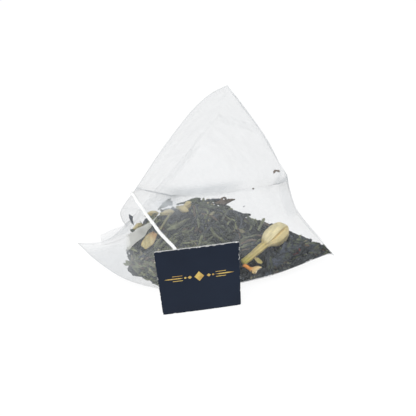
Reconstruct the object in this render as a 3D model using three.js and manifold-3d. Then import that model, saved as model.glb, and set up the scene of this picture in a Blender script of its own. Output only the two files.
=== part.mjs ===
// A pyramid tea bag: fine woven mesh folded and sealed into a four-cornered pouch,
// loose tea with jasmine buds and petals inside it, and a paper tag on a cotton string.
// Millimetres, +Z up. The bag rests on its sagged base, its apex up, its front fold towards -Y.
import * as THREE from 'three';
import { mergeVertices } from 'three/addons/utils/BufferGeometryUtils.js';
import Module from 'manifold-3d';

const wasm = await Module();
wasm.setup();

// The pouch: its four corners are set by these sizes
const pouchWidth = 75.2; // front left corner to front right corner, along X
const pouchHeight = 48.8; // table to apex
const rearReach = 60; // mean of the two front corners to the rear corner, along Y
const apexBack = 17; // mean of the two front corners to the apex, along Y
const apexRight = 6.3; // apex off the middle of the width
const rearLeft = 0.9; // rear corner off the middle of the width
const cornerLift = 5; // front corners above the table
const rearLift = 4; // rear corner above the table
const frontSkew = 2.75; // left corner behind, and right corner ahead of, their mean
const wall = 0.4; // mesh wall, thicker than the real weave so that it can be a solid
const layerShare = 0.36; // how much of a pressed double layer the wall may take up
const fillShare = 0.45; // the same with the filling's clearance
const cornerSetback = 4; // how much thicker a sharp corner is than the wall
const shortestEdge = 0.02; // no facet's edge is shorter after cutting and joining

// How its panels swell and slump
const panelCrown = 1.5; // swell of the upper front panel
const sideCrown = 2.6; // swell of the two rear panels
const baseSag = 7.5; // how far the filled base would hang below its edges
const teaSwell = 2; // how far the tea pushes the lower front panel out
const teaBelly = 3.4; // how far the tea pushes the left panel out behind the pressed corner
const lipRise = 1.3; // the slumped upper panel above the cross crease
const lipSink = 1.3; // the pocket below the cross crease
const creaseDown = 0.54; // the crease's height, as a share of the way down the front panel
const creaseDip = 0.026; // how much lower it hangs left of the middle
const creaseEven = 0.45; // depth of the crease all along it, as a share of its lip and pocket
const creaseLeft = 0.9; // how much deeper it is near its left end
const creaseRight = 0.6; // how much deeper it is near its right end
const creaseFade = 14; // the crease dies away within one part in 14 of the panel's width
const bellyFade = 12; // the belly dies away towards the left fold, as the crease does
const cornerFade = 9; // the belly dies away towards the left seal in the same way
const bendSpread = 2.5; // how fast an edge's own bends die away across a panel

// Seals, the lengthwise seam and the open pores of the weave
const sealWidth = 3; // pressed margin beyond a sealed edge
const sealThickness = 0.5;
const sealOverlap = 0.5; // how far the margin reaches back into the pouch's edge
const seamWidth = 4;
const seamThickness = 0.5; // more than half of it is sunk in the wall
const seamLift = 0.05; // the seam's middle above the panel's outer face
const flapLift = 0.2; // the turned flap's middle above the front panel
const flapWidening = 1.2; // how much wider than a seal the flap is at the corner
const foldedIn = 0.55; // how far in from the edge a folded margin's middle lies, of its width
const poreSize = 0.8; // side of each open pore cut through the wall
const poreCount = 6;
const porePitch = 2.4;
const poreDown = 0.68; // the row of pores, as a share of the way down the panel
const poreReach = 3; // long enough to pass right through the wall

// What fills it
const fillGap = 0.5; // between the mesh and what lies against it
const pieceGap = 0.35; // between one loose piece and the next
const heapHeight = 15.5; // top of the heap above the table
const heapReach = 16; // how far the heap runs back from its ridge in the middle
const heapNarrowing = 1.1; // how much of that reach is lost towards the heap's two sides
const narrowingPower = 1.2; // how late the narrowing sets in
const leastReach = 0.2; // the least that the narrowing leaves, as a share of heapReach
const heapFront = 0.25; // how much lower the heap is at its front, as a share of its height
const ridgeBack = 7.5; // heap ridge behind the mean of the two front corners
const heapLeafCount = 22; // leaves that stand out of the heap as part of it
const budLength = 17.5;
const budHeadLength = 9.5;
const budHeadRadius = 3.1;
const budTubeRadius = 1.15;
const smallBudLength = 4.4;
const smallBudRadius = 1.3;
const blossomLength = 5.4;
const blossomRadius = 1.3;
const leafWidth = 1.7;
const leafThickness = 0.45;
const petalThickness = 0.4;
const stemDiameter = 0.7;

// The tag and its string
const tagWidth = 21.2;
const tagHeight = 22.4;
const tagThickness = 0.35;
const tagCorner = 0.3; // corners a little worn off
const tagYaw = 7.2; // degrees, turned towards the right
const tagLean = 1.1; // degrees, leaning back
const tagRoll = 3; // degrees, standing on its left corner
const tagFoot = [-11, -20.35]; // where its left corner stands, from the same zero as the string
const stringDiameter = 0.8;

// The string's route, chosen by hand: from its weld at the left fold, down past the
// front panel, behind the top edge of the tag and down the back of the tag
const stringRoute = [
  [-20.0, 3.0, 23.1], [-19.2, 1.2, 23.7], [-18.1, -1.0, 23.5], [-16.7, -3.1, 22.9],
  [-15.1, -5.8, 22.4], [-13.1, -9.0, 22.0], [-11.2, -12.3, 21.8], [-10.1, -14.0, 21.9],
  [-9.0, -15.7, 22.0], [-7.9, -17.3, 22.1], [-7.1, -18.3, 21.7], [-6.7, -18.6, 20.6],
  [-6.5, -18.7, 19.2], [-6.3, -18.7, 17.6], [-6.1, -18.7, 16.0], [-5.9, -18.7, 14.2],
];

const colours = {
  mesh: 0xe9edee, cotton: 0xf4f3ef, card: 0x262c3d, tea: 0x2f302b, leaf: 0x3b3f31,
  oliveLeaf: 0x5a6044, brownLeaf: 0x5b4634, jasmine: 0xe4d6b4, petal: 0xd8bd84,
  blossom: 0xd9924a, red: 0x8c3a2c, green: 0x6f7d4a, stem: 0xa79b72,
};

const vec = (x, y, z) => new THREE.Vector3(x, y, z);
const radians = THREE.MathUtils.degToRad;
const bell = (x, width) => Math.exp(-((x / width) ** 2));
const up = vec(0, 0, 1);

// Repeatable scatter for the leaves of the heap
let seed = 7;
function chance(low, high) {
  seed = (seed * 1664525 + 1013904223) % 4294967296;
  return low + ((high - low) * seed) / 4294967296;
}

// X is zero midway between the front corners, and Y is zero at their mean
const apex = vec(apexRight, apexBack, pouchHeight);
const frontLeft = vec(-pouchWidth / 2, frontSkew, cornerLift);
const frontRight = vec(pouchWidth / 2, -frontSkew, cornerLift);
const rear = vec(-rearLeft, rearReach, rearLift);

// A fold or seal of the pouch: a curve from corner to corner. Each bend is a share of
// the straight line between them, then how far the curve stands off it in X, Y and Z.
function edge(from, to, bends) {
  const points = bends.map(([share, x, y, z]) => from.clone().lerp(to, share).add(vec(x, y, z)));
  const curve = new THREE.CatmullRomCurve3([from, ...points, to], false, 'centripetal');
  const reversed = new THREE.CatmullRomCurve3([to, ...points.reverse(), from], false, 'centripetal');
  return { curve, reversed };
}

// The left fold runs down to its buckle, then turns out along the pressed front left corner
const leftFold = edge(apex, frontLeft, [
  [0.06, -1.2, 0.1, 1.0], [0.15, -1.9, -0.7, 1.8], [0.24, -1.7, -1.4, 1.9],
  [0.40, -0.9, -2.1, 1.3], [0.59, 0.7, -4.6, 1.1], [0.71, 1.6, -3.1, -0.3],
  [0.74, 2.1, -2.5, -1.2], [0.76, 3.4, -2.2, -3.1], [0.78, 5.1, -2.3, -4.2],
  [0.83, 4.7, -2.8, -3.6], [0.92, 3.4, -2.1, -2.5],
]);
const rightSeal = edge(apex, frontRight, [
  [0.16, 0.7, 0.2, 0.3], [0.31, 1.0, -0.5, 1.0], [0.48, 0.3, -1.3, 1.1],
  [0.50, 0.6, -2.6, 1.5], [0.57, -0.5, -1.8, 0.2], [0.69, -1.8, -1.8, -0.8],
  [0.80, -1.6, -2.2, -0.2], [0.90, -0.7, -2.5, 0.8],
]);
// The front fold bows forward over the tea
const frontFold = edge(frontLeft, frontRight, [
  [0.10, -0.2, -6.8, -0.8], [0.21, -0.9, -11.6, -1.6], [0.34, -1.3, -14.1, -2.0],
  [0.46, -0.9, -15.0, -2.0], [0.56, -0.9, -13.6, -2.0], [0.65, -1.1, -10.6, -2.0],
  [0.76, -0.9, -7.4, -2.0], [0.87, -0.6, -3.4, -1.4], [0.98, 0.4, 1.0, -0.5],
]);
const rearFold = edge(apex, rear, [
  [0.22, 0.8, 0.3, 0.1], [0.55, 1.0, -0.2, -0.2], [0.85, 0.3, -0.4, -0.2],
]);
const leftSeal = edge(frontLeft, rear, [
  [0.05, 5.4, -3.5, 0.0], [0.15, 8.2, -5.5, -0.2], [0.27, 7.3, -4.5, -0.5],
  [0.49, 4.7, -3.3, -0.5], [0.78, 2.1, -1.2, -0.2],
]);
const rightFold = edge(frontRight, rear, [
  [0.09, 0.5, 0.5, -0.5], [0.22, 0.5, 0.7, -0.8], [0.47, 1.1, 0.8, -0.5],
  [0.77, 1.1, 0.7, -0.2],
]);

// A panel of mesh between three edges. down runs 0 to 1 from its tip to its far edge,
// across runs 0 to 1 from its left edge to its right one. swell moves it along its normal.
function panel(left, right, far, outward, swell) {
  const tip = left.getPoint(0);
  const leftEnd = left.getPoint(1);
  const rightEnd = right.getPoint(1);
  const normal = leftEnd.clone().sub(tip).cross(rightEnd.clone().sub(tip)).normalize();
  if (normal.dot(outward) < 0) normal.negate();
  const at = (across, down) => {
    const straightLeft = tip.clone().lerp(leftEnd, down);
    const straightRight = tip.clone().lerp(rightEnd, down);
    const straightFar = leftEnd.clone().lerp(rightEnd, across);
    const point = straightLeft.clone().lerp(straightRight, across);
    point.addScaledVector(left.getPointAt(down).sub(straightLeft), (1 - across) ** bendSpread);
    point.addScaledVector(right.getPointAt(down).sub(straightRight), across ** bendSpread);
    point.addScaledVector(far.getPointAt(across).sub(straightFar), down ** bendSpread);
    const inside = 27 * (1 - down) * down * (1 - across) * down * across;
    return swell(point, normal, across, down, inside);
  };
  return { at, normal };
}

// The cross crease, where the upper panel slumps over the filled pocket
const creaseAt = (across) => creaseDown + creaseDip * bell(across - 0.38, 0.3);

function frontSwell(point, normal, across, down, inside) {
  const sides = Math.min(1, creaseFade * across, creaseFade * (1 - across));
  const depth = sides * (creaseEven + creaseLeft * bell(across - 0.2, 0.2)
    + creaseRight * bell(across - 0.93, 0.12));
  const below = down - creaseAt(across);
  const lip = lipRise * bell(below + 0.05, 0.06) - lipSink * bell(below - 0.035, 0.045);
  const filled = teaSwell * 4 * across * (1 - across) * 12.2 * down ** 4 * (1 - down);
  return point.addScaledVector(normal, panelCrown * inside + depth * lip + filled);
}

const sideSwell = (point, normal, across, down, inside) =>
  point.addScaledVector(normal, sideCrown * inside);

// The left panel swells over the tea just behind the pressed corner
function leftSwell(point, normal, across, down, inside) {
  const within = Math.min(1, bellyFade * across, cornerFade * (1 - down));
  const belly = within * teaBelly * bell(across - 0.13, 0.1) * bell(down - 0.84, 0.14);
  return sideSwell(point, normal, across, down, inside).addScaledVector(normal, belly);
}

// The base sags onto the table and lies flat there
function baseSwell(point, normal, across, down, inside) {
  point.z = Math.max(0, point.z - baseSag * Math.max(0, inside) ** 0.6);
  return point;
}

const frontPanel = panel(leftFold.curve, rightSeal.curve, frontFold.curve, vec(0, -1, 0.4), frontSwell);
const leftPanel = panel(leftFold.curve, rearFold.curve, leftSeal.curve, vec(-1, 0.5, 0.4), leftSwell);
const rightPanel = panel(rightSeal.curve, rearFold.curve, rightFold.curve, vec(1, 0.5, 0.4), sideSwell);
const basePanel = panel(leftSeal.reversed, rightFold.reversed, frontFold.curve, vec(0, 0, -1), baseSwell);

// Rows crowd together at the cross crease. Columns are even, as two of them meet rows of the base.
const rows = [0, 0.1, 0.2, 0.3, 0.38, 0.45, 0.5, 0.54, 0.58, 0.62, 0.68, 0.74, 0.8, 0.86, 0.91, 0.96, 1];
const columns = rows.map((_, index) => index / (rows.length - 1));

// Panels that share an edge get exactly the same points along it
const snap = (point) => vec(...point.toArray().map((value) => Math.round(value * 1000) / 1000));

// The triangles of one panel, wound so that they face outward
function panelTriangles(face, rowPlaces) {
  const points = rowPlaces.map((down) => columns.map((across) => snap(face.at(across, down))));
  const positions = [];
  const add = (a, b, c) => {
    const facing = b.clone().sub(a).cross(c.clone().sub(a));
    const order = face.flip ? [a, c, b] : [a, b, c];
    if (facing.lengthSq() > 1e-12) order.forEach((p) => positions.push(p.x, p.y, p.z));
  };
  for (let row = 0; row + 1 < rowPlaces.length; row += 1) {
    for (let column = 0; column + 1 < columns.length; column += 1) {
      const [a, b] = [points[row][column], points[row][column + 1]];
      const [c, d] = [points[row + 1][column], points[row + 1][column + 1]];
      if (row > 0) add(a, d, b);
      add(a, c, d);
    }
  }
  return positions;
}

function skinGeometry() {
  frontPanel.flip = false;
  leftPanel.flip = true;
  rightPanel.flip = false;
  basePanel.flip = true;
  const positions = [
    ...panelTriangles(frontPanel, rows),
    ...panelTriangles(leftPanel, rows),
    ...panelTriangles(rightPanel, rows),
    ...panelTriangles(basePanel, columns),
  ];
  const geometry = new THREE.BufferGeometry();
  geometry.setAttribute('position', new THREE.Float32BufferAttribute(positions, 3));
  const merged = mergeVertices(geometry, 1e-4);
  merged.computeVertexNormals();
  return merged;
}

// A closed skin moved inward by depth, or by a share of the way to the opposite layer
// where that is less. A corner too sharp to have an inside straight behind it moves
// towards the middle instead, and further.
function insetSkin(skin, depth, share = layerShare) {
  const mesh = new THREE.Mesh(skin, new THREE.MeshBasicMaterial({ side: THREE.DoubleSide }));
  const ray = new THREE.Raycaster();
  ray.near = 0.02;
  const reachFrom = (point, inward) => {
    ray.set(point, inward);
    const hits = ray.intersectObject(mesh);
    return hits.length > 0 ? hits[0].distance : 0;
  };
  skin.computeBoundingBox();
  const centre = skin.boundingBox.getCenter(vec());
  centre.z /= 2;
  const moved = skin.clone();
  const place = moved.getAttribute('position');
  for (let index = 0; index < place.count; index += 1) {
    const point = vec().fromBufferAttribute(place, index);
    const inward = vec().fromBufferAttribute(skin.getAttribute('normal'), index).negate();
    let most = depth;
    let reach = reachFrom(point, inward);
    if (reach === 0) {
      inward.copy(centre).sub(point).normalize();
      reach = reachFrom(point, inward);
      most = depth * cornerSetback;
    }
    point.addScaledVector(inward, Math.min(most, share * reach));
    place.setXYZ(index, point.x, point.y, point.z);
  }
  return moved;
}

function solidOf(geometry) {
  const bare = geometry.clone();
  bare.deleteAttribute('normal');
  bare.deleteAttribute('uv');
  const merged = mergeVertices(bare, 1e-4);
  return new wasm.Manifold(new wasm.Mesh({
    numProp: 3,
    vertProperties: new Float32Array(merged.getAttribute('position').array),
    triVerts: new Uint32Array(merged.index.array),
  }));
}

// Cutting and joining leave some edges too short to matter. Their two ends are drawn
// together, and the faces that this flattens are dropped.
function withoutShortEdges(positions, faces) {
  const root = Array.from({ length: positions.length / 3 }, (_, index) => index);
  const rootOf = (index) => (root[index] === index ? index : rootOf(root[index]));
  const pointOf = (index) => vec().fromArray(positions, index * 3);
  faces.forEach((face) => face.forEach((from, corner) => {
    const to = face[(corner + 1) % 3];
    if (pointOf(from).distanceTo(pointOf(to)) < shortestEdge) root[rootOf(from)] = rootOf(to);
  }));
  const kept = new Map();
  faces.map((face) => face.map(rootOf)).forEach((face) => {
    if (new Set(face).size < 3) return;
    const key = [...face].sort((a, b) => a - b).join(' ');
    if (kept.has(key)) kept.delete(key);
    else kept.set(key, face);
  });
  return [...kept.values()];
}

function geometryOf(solid) {
  const { vertProperties, triVerts, numProp } = solid.getMesh();
  const positions = new Float32Array((vertProperties.length / numProp) * 3);
  for (let index = 0; index < positions.length / 3; index += 1) {
    positions.set(vertProperties.subarray(index * numProp, index * numProp + 3), index * 3);
  }
  const faces = [];
  for (let index = 0; index < triVerts.length; index += 3) {
    faces.push([...triVerts.subarray(index, index + 3)]);
  }
  const geometry = new THREE.BufferGeometry();
  geometry.setAttribute('position', new THREE.BufferAttribute(positions, 3));
  geometry.setIndex(withoutShortEdges(positions, faces).flat());
  geometry.computeVertexNormals();
  return geometry;
}

// A flat strip of even thickness through a run of frames, each a centre with the strip's
// own sideways direction, upward direction and width. Its section closes on itself.
function strip(frames, thickness) {
  const positions = [];
  const corners = frames.map(({ centre, side, up, width }) => [
    [-1, -1], [1, -1], [1, 1], [-1, 1],
  ].map(([across, high]) => centre.clone()
    .addScaledVector(side, (across * width) / 2)
    .addScaledVector(up, (high * thickness) / 2)));
  const quad = (a, b, c, d) => [a, b, c, a, c, d].forEach((p) => positions.push(p.x, p.y, p.z));
  quad(corners[0][0], corners[0][3], corners[0][2], corners[0][1]);
  for (let index = 0; index + 1 < corners.length; index += 1) {
    for (let side = 0; side < 4; side += 1) {
      const next = (side + 1) % 4;
      quad(corners[index][side], corners[index][next], corners[index + 1][next], corners[index + 1][side]);
    }
  }
  quad(...corners[corners.length - 1]);
  const geometry = new THREE.BufferGeometry();
  geometry.setAttribute('position', new THREE.Float32BufferAttribute(positions, 3));
  const merged = mergeVertices(geometry, 1e-5);
  merged.computeVertexNormals();
  return merged;
}

// Frames for a strip that lies on a panel through places given as across and down
function framesOn(face, places, widths, lift) {
  return places.map(([across, down], index) => {
    const centre = face.at(across, down).addScaledVector(face.normal, lift);
    const before = places[Math.max(0, index - 1)];
    const after = places[Math.min(places.length - 1, index + 1)];
    const run = face.at(...after).sub(face.at(...before)).normalize();
    const side = face.normal.clone().cross(run).normalize();
    const up = run.clone().cross(side).normalize();
    return { centre, side, up, width: widths[index] };
  });
}

// A tube of even thickness along a smooth curve through points
function tube(points, diameter, sides, steps) {
  const section = new THREE.Shape();
  for (let side = 0; side < sides; side += 1) {
    const angle = (side * 2 * Math.PI) / sides;
    const [x, y] = [(Math.cos(angle) * diameter) / 2, (Math.sin(angle) * diameter) / 2];
    if (side === 0) section.moveTo(x, y);
    else section.lineTo(x, y);
  }
  section.closePath();
  const path = new THREE.CatmullRomCurve3(points.map((point) => vec(...point)), false, 'centripetal');
  return new THREE.ExtrudeGeometry(section, { steps, extrudePath: path, bevelEnabled: false });
}

// A thin curled blade along X, for leaves and petals: curl bends it, twist turns it about
// its length, and ends is how narrow its two ends are. grow makes it larger all round.
function blade({ length, width, curl, twist, ends, steps }, thickness, grow = 0) {
  const frames = [];
  for (let step = 0; step <= steps; step += 1) {
    const share = step / steps;
    const angle = curl * (share - 0.5);
    const radius = length / curl;
    const run = vec(Math.cos(angle), 0, Math.sin(angle));
    const centre = vec(radius * Math.sin(angle), 0, radius * (1 - Math.cos(angle)));
    if (step === 0) centre.addScaledVector(run, -grow);
    if (step === steps) centre.addScaledVector(run, grow);
    const side = vec(0, 1, 0).applyAxisAngle(run, twist * share);
    const up = run.clone().cross(side);
    const full = ends + (1 - ends) * Math.sin(Math.PI * share);
    frames.push({ centre, side, up, width: width * full + 2 * grow });
  }
  return strip(frames, thickness + 2 * grow);
}

// A bud turned along +Y from the end of its tube to its tip, its head lobed by the
// wrapped petals
function bud({ length, headLength, headRadius, tubeRadius, lobes, sides }, grow = 0) {
  const neck = length - headLength;
  const outline = [
    [0, 0], [tubeRadius * 0.8, 0], [tubeRadius, neck * 0.3], [tubeRadius, neck * 0.85],
    [tubeRadius * 1.25, neck], [headRadius * 0.78, neck + headLength * 0.16],
    [headRadius, neck + headLength * 0.42], [headRadius * 0.92, neck + headLength * 0.68],
    [headRadius * 0.62, neck + headLength * 0.9], [0, length],
  ].map(([radius, along], index, all) => {
    const end = index < 2 ? -grow : 0;
    const tip = index === all.length - 1 ? grow : 0;
    return new THREE.Vector2(radius > 0 ? radius + grow : 0, along + end + tip);
  });
  const geometry = new THREE.LatheGeometry(outline, sides);
  const place = geometry.getAttribute('position');
  for (let index = 0; index < place.count; index += 1) {
    const [x, y, z] = [place.getX(index), place.getY(index), place.getZ(index)];
    const head = THREE.MathUtils.smoothstep(y, neck, neck + headLength * 0.3);
    const scale = 1 + lobes * head * Math.cos(3 * Math.atan2(z, x) + (2.4 * (y - neck)) / headLength);
    place.setX(index, x * scale);
    place.setZ(index, z * scale);
  }
  geometry.deleteAttribute('normal');
  geometry.deleteAttribute('uv');
  const merged = mergeVertices(geometry, 1e-4);
  merged.computeVertexNormals();
  return merged;
}

const material = (name, roughness, more = {}) =>
  new THREE.MeshStandardMaterial({ color: colours[name], roughness, metalness: 0, ...more });

const teaBag = new THREE.Group();

function addPiece(name, geometry, finish, position = vec(), rotation = new THREE.Quaternion()) {
  const piece = new THREE.Mesh(geometry, finish);
  piece.name = name;
  piece.position.copy(position);
  piece.quaternion.copy(rotation);
  teaBag.add(piece);
}

const skin = skinGeometry();

// A margin pressed flat beyond the sealed left edge
function sealMargin(curve, first, last, outward) {
  const frames = [];
  const steps = 14;
  for (let step = 0; step <= steps; step += 1) {
    const share = first + ((last - first) * step) / steps;
    const run = curve.getTangentAt(share);
    const side = outward.clone().addScaledVector(run, -outward.dot(run)).normalize();
    const centre = curve.getPointAt(share).addScaledVector(side, sealWidth / 2 - sealOverlap);
    frames.push({ centre, side, up: run.clone().cross(side), width: sealWidth });
  }
  return strip(frames, sealThickness);
}

// The margin of the right seal is folded back flat against the right rear panel
function foldedMargin() {
  const shares = [0.08, 0.16, 0.24, 0.32, 0.4, 0.45, 0.5, 0.55, 0.6, 0.68, 0.76, 0.84, 0.9];
  const places = shares.map((down) => [(foldedIn * sealWidth) / (pouchWidth * down), down]);
  const widths = shares.map(() => sealWidth);
  return strip(framesOn(rightPanel, places, widths, seamLift), sealThickness);
}

// The end of the left margin, turned over the front panel at the pressed corner, where it
// runs up the panel and narrows to a point
function turnedFlap() {
  const shares = [0, 0.15, 0.3, 0.45, 0.6, 0.75, 0.88, 1];
  const places = shares.map((share) => [0.1 + 0.125 * share, 0.82 - 0.16 * share]);
  const widths = shares.map((share) => sealWidth * (flapWidening - share));
  return strip(framesOn(frontPanel, places, widths, flapLift), sealThickness);
}

// The lengthwise lap seam runs from the right seal over both rear panels to the left seal
function lapSeam(face, places) {
  return strip(framesOn(face, places, places.map(() => seamWidth), seamLift), seamThickness);
}

const rightSeamPlaces = [0.03, 0.25, 0.5, 0.75, 0.97].map((across) => [across, 0.26 + 0.2 * across]);
const leftSeamPlaces = [0.46, 0.6, 0.74, 0.87, 0.98].map((down) => [0.97 - 0.4 * (down - 0.46), down]);

// One square pore through the right rear panel, off the middle of its row by offset
function pore(offset) {
  const centre = rightPanel.at(0.5, poreDown);
  const along = rightPanel.at(0.56, poreDown).sub(rightPanel.at(0.44, poreDown)).normalize();
  const side = rightPanel.normal.clone().cross(along).normalize();
  const ends = [offset - poreSize / 2, offset + poreSize / 2].map((place) => ({
    centre: centre.clone().addScaledVector(along, place),
    side,
    up: along.clone().cross(side),
    width: poreSize,
  }));
  return strip(ends, poreReach);
}

function meshBag() {
  let solid = solidOf(skin);
  const joined = [
    sealMargin(leftSeal.curve, 0.16, 0.97, vec(-1, 0.5, 0.25)),
    foldedMargin(),
    turnedFlap(),
    lapSeam(rightPanel, rightSeamPlaces),
    lapSeam(leftPanel, leftSeamPlaces),
  ];
  joined.forEach((piece) => {
    solid = solid.add(solidOf(piece));
  });
  solid = solid.subtract(solidOf(insetSkin(skin, wall)));
  for (let index = 0; index < poreCount; index += 1) {
    solid = solid.subtract(solidOf(pore((index - (poreCount - 1) / 2) * porePitch)));
  }
  return geometryOf(solid);
}

addPiece('mesh_bag', meshBag(), material('mesh', 0.55, { transparent: true, opacity: 0.35 }));

// The heap's ridge along X: place as a share of half the pouch's width, then height as
// a share of heapHeight
const ridgeShape = [
  [-0.66, -0.3], [-0.6, 0.24], [-0.42, 0.68], [-0.2, 0.9], [0.02, 1], [0.14, 1],
  [0.26, 0.64], [0.46, 0.48], [0.78, 0.18], [1, -0.1],
];

function ridgeHeight(place) {
  const next = Math.min(ridgeShape.length - 1, Math.max(1, ridgeShape.findIndex(([to]) => to > place)));
  const [[from, low], [to, high]] = [ridgeShape[next - 1], ridgeShape[next]];
  const share = Math.min(1, Math.max(0, (place - from) / (to - from)));
  return heapHeight * (low + (high - low) * share);
}

function heapTop(x, y) {
  const place = (2 * x) / pouchWidth;
  const kept = 1 - heapNarrowing * Math.abs(place) ** narrowingPower;
  const reach = heapReach * Math.max(leastReach, kept);
  const behind = Math.max(0, y - ridgeBack) / reach;
  const ahead = Math.max(0, ridgeBack - y) / heapReach;
  const fall = behind < 1 ? Math.cos((Math.PI / 2) * behind) ** 1.5 : -0.2;
  const lumps = 0.5 * Math.sin(0.9 * x + 0.4 * y) + 0.4 * Math.sin(1.3 * y - 0.7 * x);
  return ridgeHeight(place) * fall * (1 - heapFront * ahead) + lumps;
}

// A closed solid under the heap's top, wide enough to cross the pouch's walls
function heapField(columnCount, rowCount) {
  const floor = -2;
  const near = -apexBack;
  const far = ridgeBack + heapReach + 2;
  const positions = [];
  const at = (column, row, high) => {
    const x = pouchWidth * (column / columnCount - 0.5);
    const y = near + ((far - near) * row) / rowCount;
    return [x, y, high ? Math.max(floor + 0.5, heapTop(x, y)) : floor];
  };
  const quad = (a, b, c, d) => positions.push(...a, ...b, ...c, ...a, ...c, ...d);
  for (let column = 0; column < columnCount; column += 1) {
    for (let row = 0; row < rowCount; row += 1) {
      const around = [[column, row], [column + 1, row], [column + 1, row + 1], [column, row + 1]];
      quad(...around.map(([i, j]) => at(i, j, true)));
      quad(...around.reverse().map(([i, j]) => at(i, j, false)));
    }
    quad(at(column, 0, false), at(column + 1, 0, false), at(column + 1, 0, true), at(column, 0, true));
    quad(at(column + 1, rowCount, false), at(column, rowCount, false),
      at(column, rowCount, true), at(column + 1, rowCount, true));
  }
  for (let row = 0; row < rowCount; row += 1) {
    quad(at(0, row + 1, false), at(0, row, false), at(0, row, true), at(0, row + 1, true));
    quad(at(columnCount, row, false), at(columnCount, row + 1, false),
      at(columnCount, row + 1, true), at(columnCount, row, true));
  }
  const geometry = new THREE.BufferGeometry();
  geometry.setAttribute('position', new THREE.Float32BufferAttribute(positions, 3));
  return geometry;
}

// The room inside the mesh
const room = solidOf(insetSkin(skin, wall + 0.05));

// Each loose piece leaves a pocket of its own shape, a little larger, in the heap. It
// starts at its place, and moves inward while its pocket crosses the mesh and up while it
// meets a pocket made before it.
const pockets = [];
const roomMiddle = vec(0, ridgeBack, heapHeight / 2);
const settleStep = 0.2;
const settleTries = 60;

function addLoose(name, make, finish, start, rotation = new THREE.Quaternion()) {
  const grown = make(pieceGap);
  grown.applyQuaternion(rotation);
  const position = start.clone();
  let pocket;
  for (let tries = 0; tries < settleTries; tries += 1) {
    pocket = solidOf(grown.clone().translate(position.x, position.y, position.z));
    const outside = pocket.subtract(room).volume() > 1e-3;
    const meeting = pockets.some((other) => other.intersect(pocket).volume() > 1e-3);
    if (!outside && !meeting) break;
    const inward = roomMiddle.clone().sub(position).normalize();
    if (outside) position.addScaledVector(inward, settleStep);
    if (meeting) position.addScaledVector(up, settleStep);
  }
  pockets.push(pocket);
  addPiece(name, make(0), finish, position, rotation);
}

const turnTo = (from, direction, roll = 0) => new THREE.Quaternion()
  .setFromUnitVectors(from, direction.clone().normalize())
  .multiply(new THREE.Quaternion().setFromAxisAngle(from, roll));

// A place over the heap, given as shares of half the pouch's width and of its reach back
function onHeap(across, back, lift) {
  const [x, y] = [(across * pouchWidth) / 2, back * rearReach];
  return vec(x, y, heapTop(x, y) + lift);
}

// A place behind the front panel, with its depth counted from the filling's clearance
const behindMesh = (across, down, depth) => frontPanel.at(across, down)
  .addScaledVector(frontPanel.normal, -(wall + fillGap + depth));

function largeBud() {
  const spec = {
    length: budLength, headLength: budHeadLength, headRadius: budHeadRadius,
    tubeRadius: budTubeRadius, lobes: 0.08, sides: 14,
  };
  const tubeEnd = behindMesh(0.653, 0.891, budTubeRadius + 0.4);
  const tip = behindMesh(0.874, 0.785, budHeadRadius + 0.9);
  addLoose('jasmine_bud_large', (grow) => bud(spec, grow), material('jasmine', 0.6), tubeEnd,
    turnTo(vec(0, 1, 0), tip.sub(tubeEnd), 0.6));
}

// Small buds on the heap: across and back, then the heading and climb of the tip
const smallBudPlaces = [
  [-0.42, 0.165, 0.1, 0.1], [-0.289, 0.123, 0.2, 0.1], [-0.136, 0.125, 1.0, 0.3],
  [-0.165, 0.078, -0.6, 0.1], [-0.57, 0.134, 0.6, 0.1], [0.05, 0.27, 2.2, 0.1],
];

function smallBuds() {
  const spec = {
    length: smallBudLength, headLength: smallBudLength * 0.75, headRadius: smallBudRadius,
    tubeRadius: smallBudRadius * 0.45, lobes: 0.06, sides: 9,
  };
  smallBudPlaces.forEach(([across, back, heading, climb], index) => {
    const way = vec(Math.cos(heading), Math.sin(heading), climb).normalize();
    const start = onHeap(across, back, smallBudRadius * 0.55).addScaledVector(way, -smallBudLength / 2);
    addLoose(`jasmine_bud_small_${index + 1}`, (grow) => bud(spec, grow), material('jasmine', 0.6),
      start, turnTo(vec(0, 1, 0), way, index));
  });
}

// A blade laid from one place towards another, its face towards facing
function addBlade(name, spec, thickness, finish, from, to, facing) {
  const run = to.clone().sub(from).normalize();
  const side = facing.clone().cross(run).normalize();
  const basis = new THREE.Matrix4().makeBasis(run, side, run.clone().cross(side));
  const rotation = new THREE.Quaternion().setFromRotationMatrix(basis);
  addLoose(name, (grow) => blade(spec, thickness, grow), finish, from.clone().lerp(to, 0.5), rotation);
}

function petalsAndScraps() {
  const front = frontPanel.normal;
  const petal = { length: 5, width: 2.9, curl: 0.7, twist: 0.2, ends: 0.25, steps: 6 };
  const small = { ...petal, length: 3.4, width: 1.7 };
  const scrap = { length: 2.6, width: 1.9, curl: 0.9, twist: 0.6, ends: 0.4, steps: 4 };
  const long = { length: 4.2, width: 1.8, curl: 1.1, twist: 0.8, ends: 0.35, steps: 5 };
  const cream = material('petal', 0.65);
  addBlade('jasmine_petal_1', petal, petalThickness, cream,
    behindMesh(0.205, 0.833, 0.8), behindMesh(0.187, 0.757, 0.8), front);
  addBlade('jasmine_petal_2', small, petalThickness, cream,
    behindMesh(0.725, 0.872, 0.4), behindMesh(0.745, 0.905, 0.4), front);
  addBlade('jasmine_petal_3', small, petalThickness, cream,
    onHeap(0.19, 0.266, 0.5), onHeap(0.27, 0.29, 0.5), up);
  addBlade('red_petal_scrap', scrap, petalThickness, material('red', 0.7),
    behindMesh(0.855, 0.925, 0.3), behindMesh(0.885, 0.905, 0.3), front);
  addBlade('green_leaf_scrap', long, petalThickness, material('green', 0.7),
    behindMesh(0.835, 0.975, 0.2), behindMesh(0.9, 0.955, 0.3), front);
}

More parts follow.
